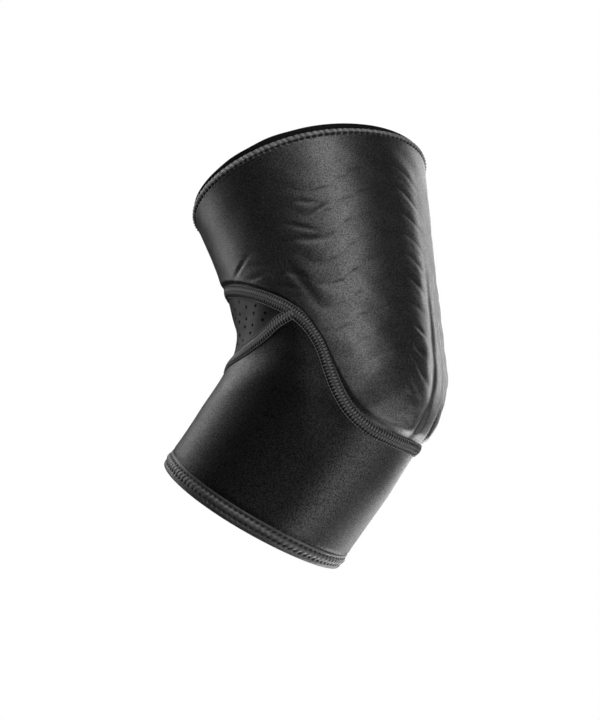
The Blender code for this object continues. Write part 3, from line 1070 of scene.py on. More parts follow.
@dataclass
class PaddedPanel:
    """Quilted panel from the upper hem round the back of the elbow to the curved seam."""

    form: SleeveForm
    columns: int = 400
    rows: int = 216
    lining_rows: int = 12
    top: float = 0.0050
    hem_gap: float = 0.00002
    thickness: float = 0.0040
    rib_pitch: float = 0.0109
    rib_swing: float = 0.0100
    first_crease: float = 0.0168
    side_swell: float = 0.00011
    dash_depth: float = 0.00007
    spine_relief: float = 0.00066
    crease_width: float = 0.0008
    outline_calm: float = 0.7
    crease_drift: float = 0.0006
    dash_share: float = 0.30
    step_angle: float = 10.0
    step_level: float = 0.8
    step_centre: float = 73.0
    fade_start: float = 0.0850
    fade_length: float = 0.0450
    side_end: float = 92.0
    side_fade: float = 20.0
    groove_offset: float = 0.0071
    groove_width: float = 0.0024
    groove_depth: float = 0.00066
    groove_spread: float = 0.0018
    ridge_offset: float = 0.0142
    ridge_height: float = 0.00038
    ridge_width: float = 0.0042
    band_half_width: float = 0.0030
    dip_reach: float = 0.0034
    tuck_depth: float = 0.0008
    fold_depth: float = 0.0016
    fold_length: float = 0.0300
    fold_width: float = 0.0030
    fold_bank: float = 0.14
    zigzag: RoundCurve = RoundCurve(
        (0.0, 27.0, 46.0, 72.0, 84.0, 104.0, 180.0), (1.0, 0.0, 0.32, 1.0, 0.20, 0.0, 0.0)
    )
    folds: tuple[tuple[float, ...], ...] = (
        (96.0, 0.356, 50.0, 0.80, 0.60, 0.30),
        (109.0, 0.303, 12.0, 0.42, 0.46, 0.26),
        (120.0, 0.268, -19.0, 0.42, 0.46, 0.30),
        (104.0, 0.272, 25.0, 0.45, 0.36, 0.18),
        (91.0, 0.335, 27.0, 0.40, 0.36, 0.16),
        (112.0, 0.240, 20.0, 0.40, 0.40, 0.14),
        (8.0, 0.570, 96.0, 0.46, 0.50, 0.22),
        (19.0, 0.385, 38.0, 0.22, 0.34, 0.22),
        (21.0, 0.425, 38.0, 0.24, 0.34, 0.26),
        (26.0, 0.440, 40.0, 0.22, 0.34, 0.24),
        (20.0, 0.462, 44.0, 0.24, 0.34, 0.26),
        (24.0, 0.495, 46.0, 0.22, 0.34, 0.20),
    )

    def crease_phase(self, angles: Array, distance: Array) -> Array:
        """Number of creases above a place, whole on a crease.

        A crease's drop follows the zigzag, climbed in small level steps between the side's valley
        and the ridge beside the spine, with a slow drift.

        Args:
            angles: Angles round the arm.
            distance: Distances from the upper rim.

        Returns:
            The number at each place.
        """
        turn = folded_turn(angles)
        climbing = ramp(turn, 24.0, 8.0) * (1.0 - ramp(turn, 74.0, 6.0))
        swing = np.sin(2.0 * math.pi * (turn - self.step_centre) / self.step_angle)
        stepped = turn - climbing * self.step_level * self.step_angle / (2.0 * math.pi) * swing
        drop = self.rib_swing * self.zigzag.at(stepped)
        drift = self.crease_drift * wander(angles, distance, 0.050, 9, 11)
        return (distance - self.first_crease - drop - drift) / self.rib_pitch

    def ribs(self, angles: Array, distance: Array) -> tuple[Array, Array]:
        """Height of the quilted ribs and how near each place is to a crease.

        At the side a rib is a low swell, the square of the sine of the phase, and its crease is a
        row of short dashes, each a bell round the arm times a bell across the crease. Beside the
        spine it is a full roll, the square root of the sine, between sharp creases, with a faint
        crease halfway. All of it fades before the spine's ridge, down the sleeve and toward the
        crook, and is flatter where the sleeve's right outline runs, which is smooth.

        Args:
            angles: Angles round the arm.
            distance: Distances from the upper rim.

        Returns:
            Heights, and nearness to a crease from 0 to 1, which darkens the cloth as painted shade.
        """
        turn = folded_turn(angles)
        phase = self.crease_phase(angles, distance)
        off_crease = (phase - np.round(phase)) * self.rib_pitch
        crease = bell(off_crease / self.crease_width)
        near_spine = 1.0 - ramp(turn, 20.0, 14.0)
        low = ramp(distance, 0.060, 0.030)
        on_ridge = ramp(turn, 2.0 + 11.0 * low, 14.0 - 7.0 * low)
        uneven = 1.0 + 0.25 * wander(angles, distance, 0.030, 14, 5)

        along_dash = (turn - self.step_centre) / self.step_angle
        dash = bell((along_dash - np.round(along_dash)) / self.dash_share)
        valley = mound(turn, 70.0, 9.0)
        dash_depth = (0.30 + 0.70 * dash + 0.12 * valley) * (
            0.75 + 0.35 * wander(angles, distance, 0.013, 30, 17))
        bank = mound(off_crease, 2.0 * self.crease_width, 1.5 * self.crease_width)
        swell = np.sin(math.pi * phase) ** 2
        side_rib = self.side_swell * swell - self.dash_depth * dash_depth * (crease - 0.18 * bank)

        roll = np.sqrt(np.abs(np.sin(math.pi * phase)))
        halfway = (phase - np.floor(phase) - 0.5) * self.rib_pitch
        deepening = 0.90 + 0.10 * ramp(distance, 0.045, 0.040)
        spine_rib = self.spine_relief * deepening * (roll - 0.22 * bell(halfway / 0.0009))

        fade = 1.0 - ramp(distance, self.fade_start, self.fade_length)
        fade = np.maximum(fade, 0.55 * near_spine)
        side = 1.0 - ramp(turn, self.side_end - self.side_fade, self.side_fade)
        outline = 1.0 - self.outline_calm * mound(angles, 343.0, 12.0)
        shown = smooth_step(phase + 1.0) * fade * side * on_ridge * outline
        height = (side_rib + (spine_rib - side_rib) * near_spine) * uneven
        dark = crease * np.clip(dash_depth * (1.0 - near_spine) + near_spine, 0.0, 1.0)
        return height * shown, dark * shown

    def spine(self, angles: Array, distance: Array) -> Array:
        """Smooth roll down the back line between two grooves, with a soft ridge beyond each.

        Grooves and ridges are bells across the sleeve that deepen down its length and move
        apart; the ridges are lumpy in step with the ribs.

        Args:
            angles: Angles round the arm.
            distance: Distances from the upper rim.

        Returns:
            The height at each place.
        """
        across = 0.5 * self.form.upper_rim_width * np.radians(folded_turn(angles))
        aside = across - self.groove_spread * ramp(distance, 0.085, 0.025)
        groove = mound(aside, self.groove_offset, self.groove_width)
        ridge = mound(aside, self.ridge_offset, self.ridge_width)
        phase = self.crease_phase(angles, distance)
        lumps = 1.0 + 0.22 * np.cos(2.0 * math.pi * (phase + 0.5))
        lumps = lumps + 0.20 * wander(angles, distance, 0.024, 3, 41)
        deepening = 0.12 + 0.88 * ramp(distance, 0.055, 0.040)
        relief = self.ridge_height * ridge * lumps - self.groove_depth * groove
        return relief * ramp(distance, 0.0090, 0.0140) * deepening

    def fold_lift(self, points: Array) -> Array:
        """Lift of the folds above the crook and of the short strokes beside the spine.

        Each is a long bell in its own slanted axes, with a low bank on both sides of it.

        Args:
            points: Points of the panel's surface.

        Returns:
            The lift at each point, below 0 in a fold.
        """
        lift = np.zeros(points.shape[:-1])
        for side in (1.0, -1.0):
            for angle, way, slant, length, width, depth in self.folds:
                place = np.array([side * angle]), np.array([way])
                middle = self.form.surface(*place)[0]
                round_arm, down = (unit(slope[0]) for slope in self.form.slopes(*place))
                round_arm = round_arm * side
                lean = math.radians(slant)
                along = -round_arm * math.cos(lean) + down * math.sin(lean)
                across = round_arm * math.sin(lean) + down * math.cos(lean)
                offset = points - middle
                run = offset @ along / (0.5 * self.fold_length * length)
                aside = offset @ across / (self.fold_width * width)
                bank = self.fold_bank * bell(run) * mound(np.abs(aside), 1.7, 0.9)
                lift -= self.fold_depth * depth * (bell(run) * bell(aside) - bank)
        return lift

    def build(self, wardrobe: Wardrobe) -> bpy.types.Object:
        """Builds and dresses the panel.

        Args:
            wardrobe: The finishes.

        Returns:
            The panel.
        """
        rails = Rails(self.form, ring_angles(self.columns))
        seam = rails.distance(PAD_SEAM.at(rails.angles)[None, :])
        edges = np.full((1, self.columns), self.top + self.hem_gap), seam - 0.5 * SEAM_GAP
        distance, ways, grid = rows_between(rails, *edges, down_shares(self.rows))
        to_seam = seam - distance
        turn = folded_turn(grid)
        reach = self.dip_reach * (1.0 + 0.6 * (1.0 - ramp(turn, 25.0, 30.0)))
        free = ramp(to_seam, self.band_half_width, reach)
        tuck = mound(to_seam, 0.0042, 0.0011) * mound(turn, 98.0, 20.0)
        under_hem = ramp(distance, self.top, 0.0080)
        heights, crease = self.ribs(grid, distance)
        heights = (heights + self.spine(grid, distance)) * under_hem * free
        folds = self.fold_lift(self.form.surface(grid, ways))
        ripple = RIPPLE_HEIGHT * wander(grid, distance, 0.022, 20, 3) * under_hem * free
        lift = heights + folds * ramp(to_seam, 0.0, 0.0035) + ripple
        lift = lift - SEAM_DIP * (1.0 - free) - self.tuck_depth * tuck

        inner, inner_distance = lining_of(rails, edges, self.lining_rows, self.thickness)
        # Painted shade in the rib creases, the folds and the tuck above the seam, and lighter wear on the
        # ribs' tops.
        painted_fold_shade = np.clip(-folds / (0.30 * self.fold_depth), 0.0, 1.0) + tuck
        painted_light_and_wear = np.maximum(crease, painted_fold_shade) - 0.30 * smooth_step(heights / 0.0014)
        wall = WallLoop(
            points=np.concatenate([self.form.lifted(grid, ways, lift), inner]),
            turns=rails.angles / 360.0,
            along=np.concatenate([distance, inner_distance]),
            finish_of_row=lined(self.rows, self.lining_rows),
            girth=0.34,
            painted_light_and_wear=np.concatenate([painted_light_and_wear, np.zeros(inner_distance.shape)]),
        )
        panel = add_piece(
            "quilted_upper_panel", wall.mesh("quilted_upper_panel"),
            [wardrobe.get(Cloth.JERSEY), wardrobe.get(Cloth.LINING)],
        )
        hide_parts("upper_panel")
        return panel


def lower_seam_way(angles: Array) -> Array:
    """Way of the seam above the knitted panel: the padded panel's behind, the vent's in front."""
    turn = folded_turn(angles)
    return np.where(turn > VENT_TIP_ANGLE, VENT_SEAM.at(angles), PAD_SEAM.at(angles))


@dataclass
class KnitPanel:
    """Knitted forearm panel from the seams down to the lower hem."""

    form: SleeveForm
    columns: int = 320
    rows: int = 110
    lining_rows: int = 10
    hem_height: float = 0.0078
    hem_gap: float = 0.00002
    thickness: float = 0.0024
    band_half_width: float = 0.0030
    dip_reach: float = 0.0240
    hem_tuck: float = 0.0003
    pucker: float = 0.00010

    def build(self, wardrobe: Wardrobe) -> bpy.types.Object:
        """Builds and dresses the panel: low at the seam, then up to the surface, a little uneven.

        Args:
            wardrobe: The finishes.

        Returns:
            The panel.
        """
        rails = Rails(self.form, ring_angles(self.columns))
        seam = rails.distance(lower_seam_way(rails.angles)[None, :]) + 0.5 * SEAM_GAP
        bottom = rails.runs[-1:] - self.hem_height - self.hem_gap
        distance, ways, grid = rows_between(rails, seam, bottom, down_shares(self.rows))
        to_seam, to_hem = distance - seam, bottom - distance
        free = ramp(to_seam, self.band_half_width, self.dip_reach)
        ripple = RIPPLE_HEIGHT * wander(grid, distance, 0.050, 8, 21) * free
        pucker = np.sin(2.0 * math.pi * grid * LOWER_STITCHES / 360.0) * bell(to_hem / 0.0025)
        lift = ripple - SEAM_DIP * (1.0 - free) - self.hem_tuck * bell(to_hem / 0.0012)
        lift = lift + self.pucker * pucker
        inner, inner_distance = lining_of(
            rails, (seam, bottom), self.lining_rows, self.thickness
        )
        wall = WallLoop(
            points=np.concatenate([self.form.lifted(grid, ways, lift), inner]),
            turns=rails.angles / 360.0,
            along=np.concatenate([distance, inner_distance]),
            finish_of_row=lined(self.rows, self.lining_rows),
            girth=0.297,
        )
        panel = add_piece(
            "knitted_lower_panel", wall.mesh("knitted_lower_panel"),
            [wardrobe.get(Cloth.KNIT), wardrobe.get(Cloth.LINING)],
        )
        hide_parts("lower_panel")
        return panel


@dataclass
class VentPanel:
    """Thin half-moon panel in the crook, punched with staggered rows of holes."""

    form: SleeveForm
    columns: int = 181
    rows: int = 64
    lining_rows: int = 24
    near_tip: float = 1.9
    thickness: float = 0.0017
    puff: float = 0.0003
    hole_slant: float = 0.35
    hole_radius: float = 0.0008
    hole_pitch: float = 0.0064
    hole_margin: float = 0.0050
    hole_sides: int = 12

    def edges(self, angles: Array) -> tuple[Rails, Array, Array]:
        """The lines down the sleeve and the distances of the panel's two edges along them."""
        rails = Rails(self.form, angles)
        upper = rails.distance(PAD_SEAM.at(angles)[None, :]) + 0.5 * SEAM_GAP
        lower = rails.distance(VENT_SEAM.at(angles)[None, :]) - 0.5 * SEAM_GAP
        return rails, upper, lower

    def hole_places(self) -> Array:
        """Angles and distances of the holes: rows a pitch apart, every second row half a step on.

        Returns:
            One row of angle and distance for each hole that clears the lower seam.
        """
        half_width = 0.5 * self.form.upper_rim_width
        pitch_angle = math.degrees(self.hole_pitch / half_width)
        across = int((180.0 - VENT_TIP_ANGLE) / pitch_angle)
        down = int(self.form.lower_front_length / self.hole_pitch)
        row, step = np.meshgrid(np.arange(-across, down), np.arange(-across, across + 1),
                                indexing="ij")
        angles = (180.0 + (step + 0.5 * (row % 2)) * pitch_angle).ravel()
        below = ((row + self.hole_slant * np.abs(step)) * self.hole_pitch).ravel()
        _, upper, lower = self.edges(angles)
        distances = upper[0] + below
        kept = (below > 0.8 * self.hole_margin) & (distances + self.hole_margin < lower[0])
        return np.stack([angles[kept], distances[kept]], axis=-1)

    def punches(self, holes: Array) -> bpy.types.Object:
        """Prisms through the cloth, one for each hole, in the surface's outward direction.

        Args:
            holes: Angles and distances of the holes.

        Returns:
            An object of all the prisms.
        """
        rails = Rails(self.form, holes[:, 0])
        ways = rails.way_at(holes[None, :, 1])[0]
        middle = self.form.surface(holes[:, 0], ways)
        round_arm, down = self.form.slopes(holes[:, 0], ways)
        round_arm = unit(round_arm)
        out = unit(np.cross(round_arm, down))
        side = np.cross(out, round_arm)
        turn = 2.0 * math.pi * np.arange(self.hole_sides) / self.hole_sides
        ring = self.hole_radius * (
            round_arm[:, None] * np.cos(turn)[None, :, None]
            + side[:, None] * np.sin(turn)[None, :, None]
        )
        depth = 2.0 * (self.thickness + SEAM_DIP)
        ends = [middle[:, None] + ring + out[:, None] * reach for reach in (-depth, depth)]
        points = np.stack(ends, axis=1)
        first = np.arange(len(holes))[:, None] * 2 * self.hole_sides
        side_index = np.arange(self.hole_sides)
        following = (side_index + 1) % self.hole_sides
        walls = np.stack(
            [first + side_index, first + following, first + self.hole_sides + following,
             first + self.hole_sides + side_index], axis=-1,
        ).reshape(-1, 4).tolist()
        caps = (first + side_index)[:, ::-1].tolist()
        caps += (first + self.hole_sides + side_index).tolist()
        mesh = bpy.data.meshes.new("vent_punches")
        mesh.from_pydata(points.reshape(-1, 3).tolist(), [], walls + caps)
        return into_scene(bpy.data.objects.new("vent_punches", mesh))

    def build(self, wardrobe: Wardrobe) -> bpy.types.Object:
        """Builds the panel, cuts its holes and dresses it.

        Args:
            wardrobe: The finishes.

        Returns:
            The panel.
        """
        start = VENT_TIP_ANGLE + self.near_tip
        rails, *edges = self.edges(np.linspace(start, 360.0 - start, self.columns))
        skins, distances = [], []
        for share, depth in ((down_shares(self.rows), 0.0),
                             (back_shares(self.lining_rows), self.thickness)):
            distance, ways, grid = rows_between(rails, *edges, share)
            sag = self.puff * wander(grid, distance, 0.030, 16, 31) * np.sin(math.pi * share)
            skins.append(self.form.lifted(grid, ways, sag - SEAM_DIP - depth))
            distances.append(distance)
        holes = self.hole_places()
        wall = WallLoop(
            points=np.concatenate(skins),
            turns=rails.angles / 360.0,
            along=np.concatenate(distances),
            finish_of_row=lined(self.rows, self.lining_rows),
            girth=0.30,
            closed_ring=False,
        )
        panel = add_piece(
            "vented_crook_panel", wall.mesh("vented_crook_panel"),
            [wardrobe.get(Cloth.VENT), wardrobe.get(Cloth.LINING)],
        )
        punch = self.punches(holes)
        cut = panel.modifiers.new("holes", "BOOLEAN")
        cut.operation = "DIFFERENCE"
        cut.object = punch
        bpy.context.view_layer.update()
        shown = panel.evaluated_get(bpy.context.evaluated_depsgraph_get())
        pierced = bpy.data.meshes.new_from_object(shown)
        panel.modifiers.remove(cut)
        panel.data = pierced
        bpy.data.objects.remove(punch)
        log.info("vent panel: %d holes", len(holes))
        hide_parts("vent_panel")
        return panel


# Edges


def lip_shows(angles: Array) -> Array:
    """How far the inner cloth shows over the upper hem: a bell behind the arm's middle."""
    return mound(folded_turn(angles), 33.0, 24.0)


@dataclass
class Hem:
    """A turned edge: a rounded profile carried round a rim, with puckers and needle holes."""

    form: SleeveForm
    name: str
    node: str
    slot: str
    cloth: Cloth
    rim_way: float
    height: float
    girth: float
    stitches: int
    steps_per_stitch: int = 12
    outer_rows: int = 34
    rim_rows: int = 10
    inner_rows: int = 8
    thickness: float = 0.0030
    belly: float = 0.00035
    belly_run: float = 0.0078
    roll: float = 0.0010
    panel_cloth: Cloth | None = None
    panel_from: float = 0.0

    def profile(self) -> tuple[Array, Array]:
        """Loop of the cross-section: distance from the rim, and lift off the surface.

        The outer side rises to a shallow belly between the rim's rounding and the foot; the
        rounding is a quarter of an oval; the inner side is level.

        Returns:
            Distances and lifts round the closed loop, starting at the foot.
        """
        run = np.linspace(self.height, self.roll, self.outer_rows)
        share = np.clip((run - self.roll) / (self.belly_run - self.roll), 0.0, 1.0)
        bulge = self.belly * np.sin(math.pi * share) ** 0.7
        turn = np.radians(np.linspace(0.0, 180.0, self.rim_rows + 2))
        half = 0.5 * self.thickness
        rim_run = self.roll - self.roll * np.sin(turn)
        rim_lift = -half + half * np.cos(turn)
        inner_run = np.linspace(self.roll, self.height, self.inner_rows)
        inner_lift = np.full(self.inner_rows, -self.thickness)
        distances = np.concatenate([run, rim_run[1:-1], inner_run])
        lifts = np.concatenate([bulge, rim_lift[1:-1], inner_lift])
        return distances, lifts

    def rim_drop(self, angles: Array) -> Array:
        """How far the edge's top stands back from the rim."""
        return np.zeros_like(angles)

    def relief(self, phase: Array, run: Array) -> tuple[Array, Array]:
        """Height of puckers and depth of needle holes and dashes; the two edges each have their own.

        Args:
            phase: Stitches counted round the rim.
            run: Distances from the rim.

        Returns:
            Added lift, and the painted shade from 0 to 1, below 0 where the edge is lightened.
        """
        raise NotImplementedError

    def build(self, wardrobe: Wardrobe) -> bpy.types.Object:
        """Builds and dresses the edge.

        Args:
            wardrobe: The finishes.

        Returns:
            The edge.
        """
        columns = self.stitches * self.steps_per_stitch
        angles = ring_angles(columns)
        rails = Rails(self.form, angles)
        rim = rails.distance(np.full((1, columns), self.rim_way))
        inward = 1.0 if self.rim_way == 0.0 else -1.0
        run, lift = self.profile()
        drop = self.rim_drop(angles)[None, :]
        runs = drop + run[:, None] * (1.0 - drop / self.height)
        ways = rails.way_at(rim + inward * runs)
        grid = np.broadcast_to(angles, ways.shape)
        ring = self.form.surface(angles, np.full(columns, self.rim_way))
        pieces = np.linalg.norm(np.roll(ring, -1, axis=0) - ring, axis=-1)
        phase = np.concatenate([[0.0], np.cumsum(pieces)[:-1]]) / pieces.sum() * self.stitches
        outer = (np.arange(len(run)) < self.outer_rows + self.rim_rows)[:, None]
        plain = (self.panel_cloth is not None) & (np.append(run[1:], 0.0) > self.panel_from)
        plain = plain & (np.arange(len(run)) < self.outer_rows)
        bumps, painted_light_and_wear = self.relief(phase[None, :], run[:, None] * np.ones((1, columns)))
        points = self.form.lifted(grid, ways, lift[:, None] + np.where(outer, bumps, 0.0))
        along = np.concatenate([[0.0], np.cumsum(np.hypot(np.diff(run), np.diff(lift)))])
        if inward < 0.0:
            points = points[::-1]
            painted_light_and_wear, outer = painted_light_and_wear[::-1], outer[::-1]
            along = along[::-1]
        wall = WallLoop(
            points=points,
            turns=angles / 360.0,
            along=np.broadcast_to(along[:, None], ways.shape),
            finish_of_row=np.where(plain if inward > 0.0 else np.roll(plain[::-1], -1), 1, 0),
            girth=self.girth,
            painted_light_and_wear=np.where(outer, painted_light_and_wear, 0.0),
        )
        mesh = turn_faces_out(wall.mesh(self.name))
        cloths = [self.cloth] if self.panel_cloth is None else [self.cloth, self.panel_cloth]
        edge = add_piece(self.name, mesh, [wardrobe.get(cloth) for cloth in cloths])
        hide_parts(self.node)
        return edge


@dataclass
class UpperHem(Hem):
    """Upper edge: slanting overlocked puckers over one row of needle stitches, sunk in and darkened with
    painted shade.
    """

    needle_run: float = 0.0028
    needle_width: float = 0.00042
    needle_depth: float = 0.00055
    groove_width: float = 0.00060
    groove_depth: float = 0.00022
    bead_offset: float = 0.00085
    bead_width: float = 0.00040
    bead_height: float = 0.00012
    pucker: float = 0.00075
    drop: float = 0.0010

    def rim_drop(self, angles: Array) -> Array:
        """A shallow drop on each side behind the arm's middle, where the inner cloth shows."""
        return self.drop * lip_shows(angles)

    def relief(self, phase: Array, run: Array) -> tuple[Array, Array]:
        """Puckers between the rim and the needle row, which is a dashed groove.

        A pucker is the cosine of the phase plus a slant that grows with the run, with a smaller
        one between; a dash is a bell across the needle row times a flat-topped step along it.
        """
        above = 1.0 - ramp(run, self.needle_run - 0.0009, 0.0008)
        slant = phase + 0.45 * run / self.needle_run + 0.10 * np.sin(phase * 1.9)
        rope = (0.5 + 0.5 * np.cos(2.0 * math.pi * slant)) ** 0.8
        small = 0.5 + 0.5 * np.cos(4.0 * math.pi * (slant + 0.13))
        along = np.abs((phase + 0.30) % 1.0 - 0.5) / 0.36
        dash = 1.0 - ramp(along, 0.70, 0.35)
        needle = mound(run, self.needle_run, self.needle_width) * dash
        groove = mound(run, self.needle_run, self.groove_width)
        bead = mound(run, self.needle_run + self.bead_offset, self.bead_width) * (1.0 - dash)
        lift = self.pucker * (0.7 * rope + 0.3 * small - 0.3) * above + self.bead_height * bead
        lift = lift - self.needle_depth * needle - self.groove_depth * groove
        # Painted shade in the needle dashes, the groove and between the puckers; lighter on the puckers'
        # tops and the bead, partly the overlock thread's own tone, partly painted highlight.
        painted_light_and_wear = np.clip(needle * 1.4 + 0.30 * groove, 0.0, 1.0) - 0.45 * bead
        return lift, painted_light_and_wear + (0.25 - 0.55 * rope - 0.15 * small) * above


@dataclass
class LowerHem(Hem):
    """Lower edge: a puffed band between two rows of needle holes."""

    low_row: float = 0.0027
    high_row: float = 0.0062
    hole_radius: float = 0.00052
    hole_depth: float = 0.00055
    dash_length: float = 0.00085
    dash_width: float = 0.00040
    dash_depth: float = 0.00040
    groove_width: float = 0.0007
    groove_depth: float = 0.00014
    puff_width: float = 0.0013
    pucker: float = 0.00028

    def relief(self, phase: Array, run: Array) -> tuple[Array, Array]:
        """Puffs between the rows, half a stitch apart from the holes of the lower row.

        A hole is a round bell at each whole phase; a puff is a wide bell between the rows, times
        the cosine of the phase; the upper row is a dashed groove.
        """
        stitch = self.girth / self.stitches
        near = (phase - np.round(phase)) * stitch
        hole = bell(np.hypot(near, run - self.low_row) / self.hole_radius)
        shifted = phase + 0.35
        off = (shifted - np.round(shifted)) * stitch
        dash = bell(off / self.dash_length) * mound(run, self.high_row, self.dash_width)
        middle = 0.5 * (self.low_row + self.high_row)
        between = mound(run, middle, self.puff_width)
        slant = phase + 0.5 + 0.35 * (run - self.low_row) / (self.high_row - self.low_row)
        puff = between * (0.5 + 0.5 * np.cos(2.0 * math.pi * slant))
        groove = sum(mound(run, row, self.groove_width) for row in (self.low_row, self.high_row))
        lift = self.pucker * (0.5 * between + puff) - self.groove_depth * groove
        lift = lift - self.hole_depth * hole - self.dash_depth * dash
        # Painted shade in the holes, the dashes and the grooves; lighter on the puffs and between the
        # rows, partly the stitching thread's own tone, partly painted highlight.
        painted_light_and_wear = np.clip(1.4 * hole + 1.3 * dash + 0.20 * groove, 0.0, 1.0)
        return lift, painted_light_and_wear - 0.40 * puff - 0.12 * between


@dataclass
class UpperLip:
    """Edge of the inner cloth, which stands above the upper hem at the sides of the arm, near black:
    painted shade darker than the inner cloth's own colour.
    """

    form: SleeveForm
    columns: int = 480
    thickness: float = 0.0012
    inset: float = 0.0009
    end_height: float = 0.0005
    side_height: float = 0.0026
    foot: float = 0.0004
    deeper_foot: float = 0.0012
    lean: float = 0.00018

    def build(self, wardrobe: Wardrobe) -> bpy.types.Object:
        """Builds and dresses the lip: straight sides under a half-round top.

        Its height goes from the end height to the side height with the square of the angle's
        sine, less toward the crook, and its foot goes down behind the hem's drop.

        Args:
            wardrobe: The finishes.

        Returns:
            The lip.
        """
        angles = ring_angles(self.columns)
        rails = Rails(self.form, angles)
        swell = np.sin(np.radians(angles)) ** 2
        swell = swell * (1.0 - 0.36 * ramp(folded_turn(angles), 75.0, 45.0))
        height = self.end_height + (self.side_height - self.end_height) * swell
        height = height * (1.0 + 0.05 * wander(angles, np.zeros_like(angles), 1.0, 24, 8))
        turn = np.radians(np.linspace(0.0, 180.0, 9))
        straight = np.linspace(0.0, 0.75, 4)
        over = 0.75 + 0.25 * np.sin(turn)[1:-1]
        share = np.concatenate([straight, over, straight[:0:-1], [0.0]])
        side = np.concatenate([np.zeros(4), 0.5 - 0.5 * np.cos(turn)[1:-1], np.ones(4)])
        foot = self.foot + self.deeper_foot * lip_shows(angles)
        distance = foot - SEAM_GAP - (height + foot) * share[:, None]
        lift = -self.inset - self.thickness * side[:, None]
        lift = lift - self.lean * swell * smooth_step(share)[:, None]
        ways = rails.way_at(distance)
        points = self.form.lifted(np.broadcast_to(angles, ways.shape), ways,
                                  np.broadcast_to(lift, ways.shape))
        wall = WallLoop(
            points=points,
            turns=angles / 360.0,
            along=-distance,
            finish_of_row=np.zeros(len(share), int),
            girth=0.358,
        )
        mesh = turn_faces_out(wall.mesh("inner_cloth_lip"), weld=0.000002)
        lip = add_piece("inner_cloth_lip", mesh, [wardrobe.get(Cloth.LIP_WITH_PAINTED_SHADE)])
        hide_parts("upper_lip")
        return lip


# Seams


@dataclass
class FlatlockSeam:
    """Flat seam: a low band of cloth with a needle row on each side and threads laid across."""

    path: SeamPath
    name: str
    pitch: float = 0.00150
    half_width: float = 0.0035
    needle_offset: float = 0.0026
    ridge: float = 0.00045
    base: float = -SEAM_DIP
    thread_radius: float = 0.00029
    steps_per_stitch: int = 6
    rows: int = 26
    under_rows: int = 6
    thread_steps: int = 7
    depth: float = 0.00070
    crown: float = 0.00012
    edge_from: float = 0.86
    edge_drop: float = 0.00060
    hole_radius: float = 0.00036
    hole_depth: float = 0.00042
    rung_height: float = 0.00007

    @property
    def stitches(self) -> int:
        """Whole number of stitches along the seam."""
        return round(self.path.length / self.pitch)

    def band(self) -> WallLoop:
        """Band of cloth under the threads, closed below.

        Its height is a flat arch across, dented by a round bell at each needle hole. Its edges
        run a little under the panels' surface.

        Returns:
            The band's wall.
        """
        columns = self.stitches * self.steps_per_stitch + (0 if self.path.closed else 1)
        phase = np.arange(columns) / self.steps_per_stitch
        run = phase / self.stitches * self.path.length
        across = np.linspace(-self.half_width, self.half_width, self.rows)[:, None]
        step = self.path.length / self.stitches
        off = (phase - np.round(phase)) * step
        side = across / self.half_width
        beside_row = np.abs(across) - self.needle_offset
        dent = bell(np.hypot(beside_row, off[None, :]) / self.hole_radius)
        edge = ramp(np.abs(side), self.edge_from, 1.0 - self.edge_from)
        arch = self.crown + self.ridge * (1.0 - side**2)
        rungs = self.rung_height * np.cos(2.0 * math.pi * (phase[None, :] + 0.5 * side))
        lift = self.base + arch - self.edge_drop * edge - self.hole_depth * dent
        lift = lift + rungs * (1.0 - edge)
        below = np.linspace(self.half_width, -self.half_width, self.under_rows)[:, None]
        under = np.full((self.under_rows, columns), self.base - self.depth)
        offsets = np.concatenate([across * np.ones(columns), below * np.ones(columns)])
        points = self.path.place(run[None, :], offsets, np.concatenate([lift, under]))
        # Painted shade in the needle dents; the rest of the band a little darker all over.
        painted_light_and_wear = np.concatenate([np.clip(1.2 * dent, 0.0, 1.0) + 0.12, np.zeros(under.shape)])
        return WallLoop(
            points=points,
            turns=run / self.path.length,
            along=offsets + self.half_width,
            finish_of_row=np.zeros(self.rows + self.under_rows, int),
            girth=self.path.length,
            closed_ring=self.path.closed,
            painted_light_and_wear=painted_light_and_wear,
        )

    def thread_paths(self) -> tuple[Array, Array]:
        """Centre lines of the threads: a rung, a crossing rung and two needle stitches a stitch.

        A rung goes from the upper needle row to the lower one, half a stitch on, over the band's
        arch; the crossing rung lies under it the other way; a needle stitch runs along its row.

        Returns:
            Paths and outward directions.
        """
        share = np.linspace(-1.0, 1.0, self.thread_steps)
        first = np.arange(self.stitches if self.path.closed else self.stitches - 1)[:, None]
        step = self.path.length / self.stitches
        arch = (1.0 - share**2) ** 0.5
        level = self.base + self.ridge * (1.0 - (share * self.needle_offset / self.half_width) ** 2)
        rung = (
            (first + 0.25 + 0.25 * share) * step,
            share * self.needle_offset,
            level + 0.00020 + 0.00016 * arch - 0.00042 * np.abs(share) ** 6,
        )
        counter = (
            (first + 0.75 - 0.25 * share) * step,
            share * self.needle_offset * 0.98,
            level + 0.00012 + 0.00006 * arch - 0.00040 * np.abs(share) ** 6,
        )
        rows = []
        for offset in (-self.needle_offset, self.needle_offset):
            rows.append((
                (first + 0.5 + 0.43 * share) * step,
                np.full(self.thread_steps, offset * 1.04),
                self.base + 0.00008 + 0.00030 * arch,
            ))
        paths = [self.path.place(*part) for part in (rung, counter, *rows)]
        above = [self.path.place(run, offset, lift + 0.001)
                 for run, offset, lift in (rung, counter, *rows)]
        paths, above = np.concatenate(paths), np.concatenate(above)
        return paths, unit(above - paths)

    def build(self, wardrobe: Wardrobe) -> list[bpy.types.Object]:
        """Builds and dresses the band and its threads.

        Args:
            wardrobe: The finishes.

        Returns:
            The band and the threads.
        """
        band = add_piece(
            f"{self.name}_band", turn_faces_out(self.band().mesh(f"{self.name}_band")),
            [wardrobe.get(Cloth.SEAM_BAND)],
        )
        paths, outs = self.thread_paths()
        threads = add_piece(
            f"{self.name}_threads",
            ThreadBundle(paths, outs, self.thread_radius, sides=5).mesh(f"{self.name}_threads"),
            [wardrobe.get(Cloth.THREAD)],
        )
        return [band, threads]


# Studio


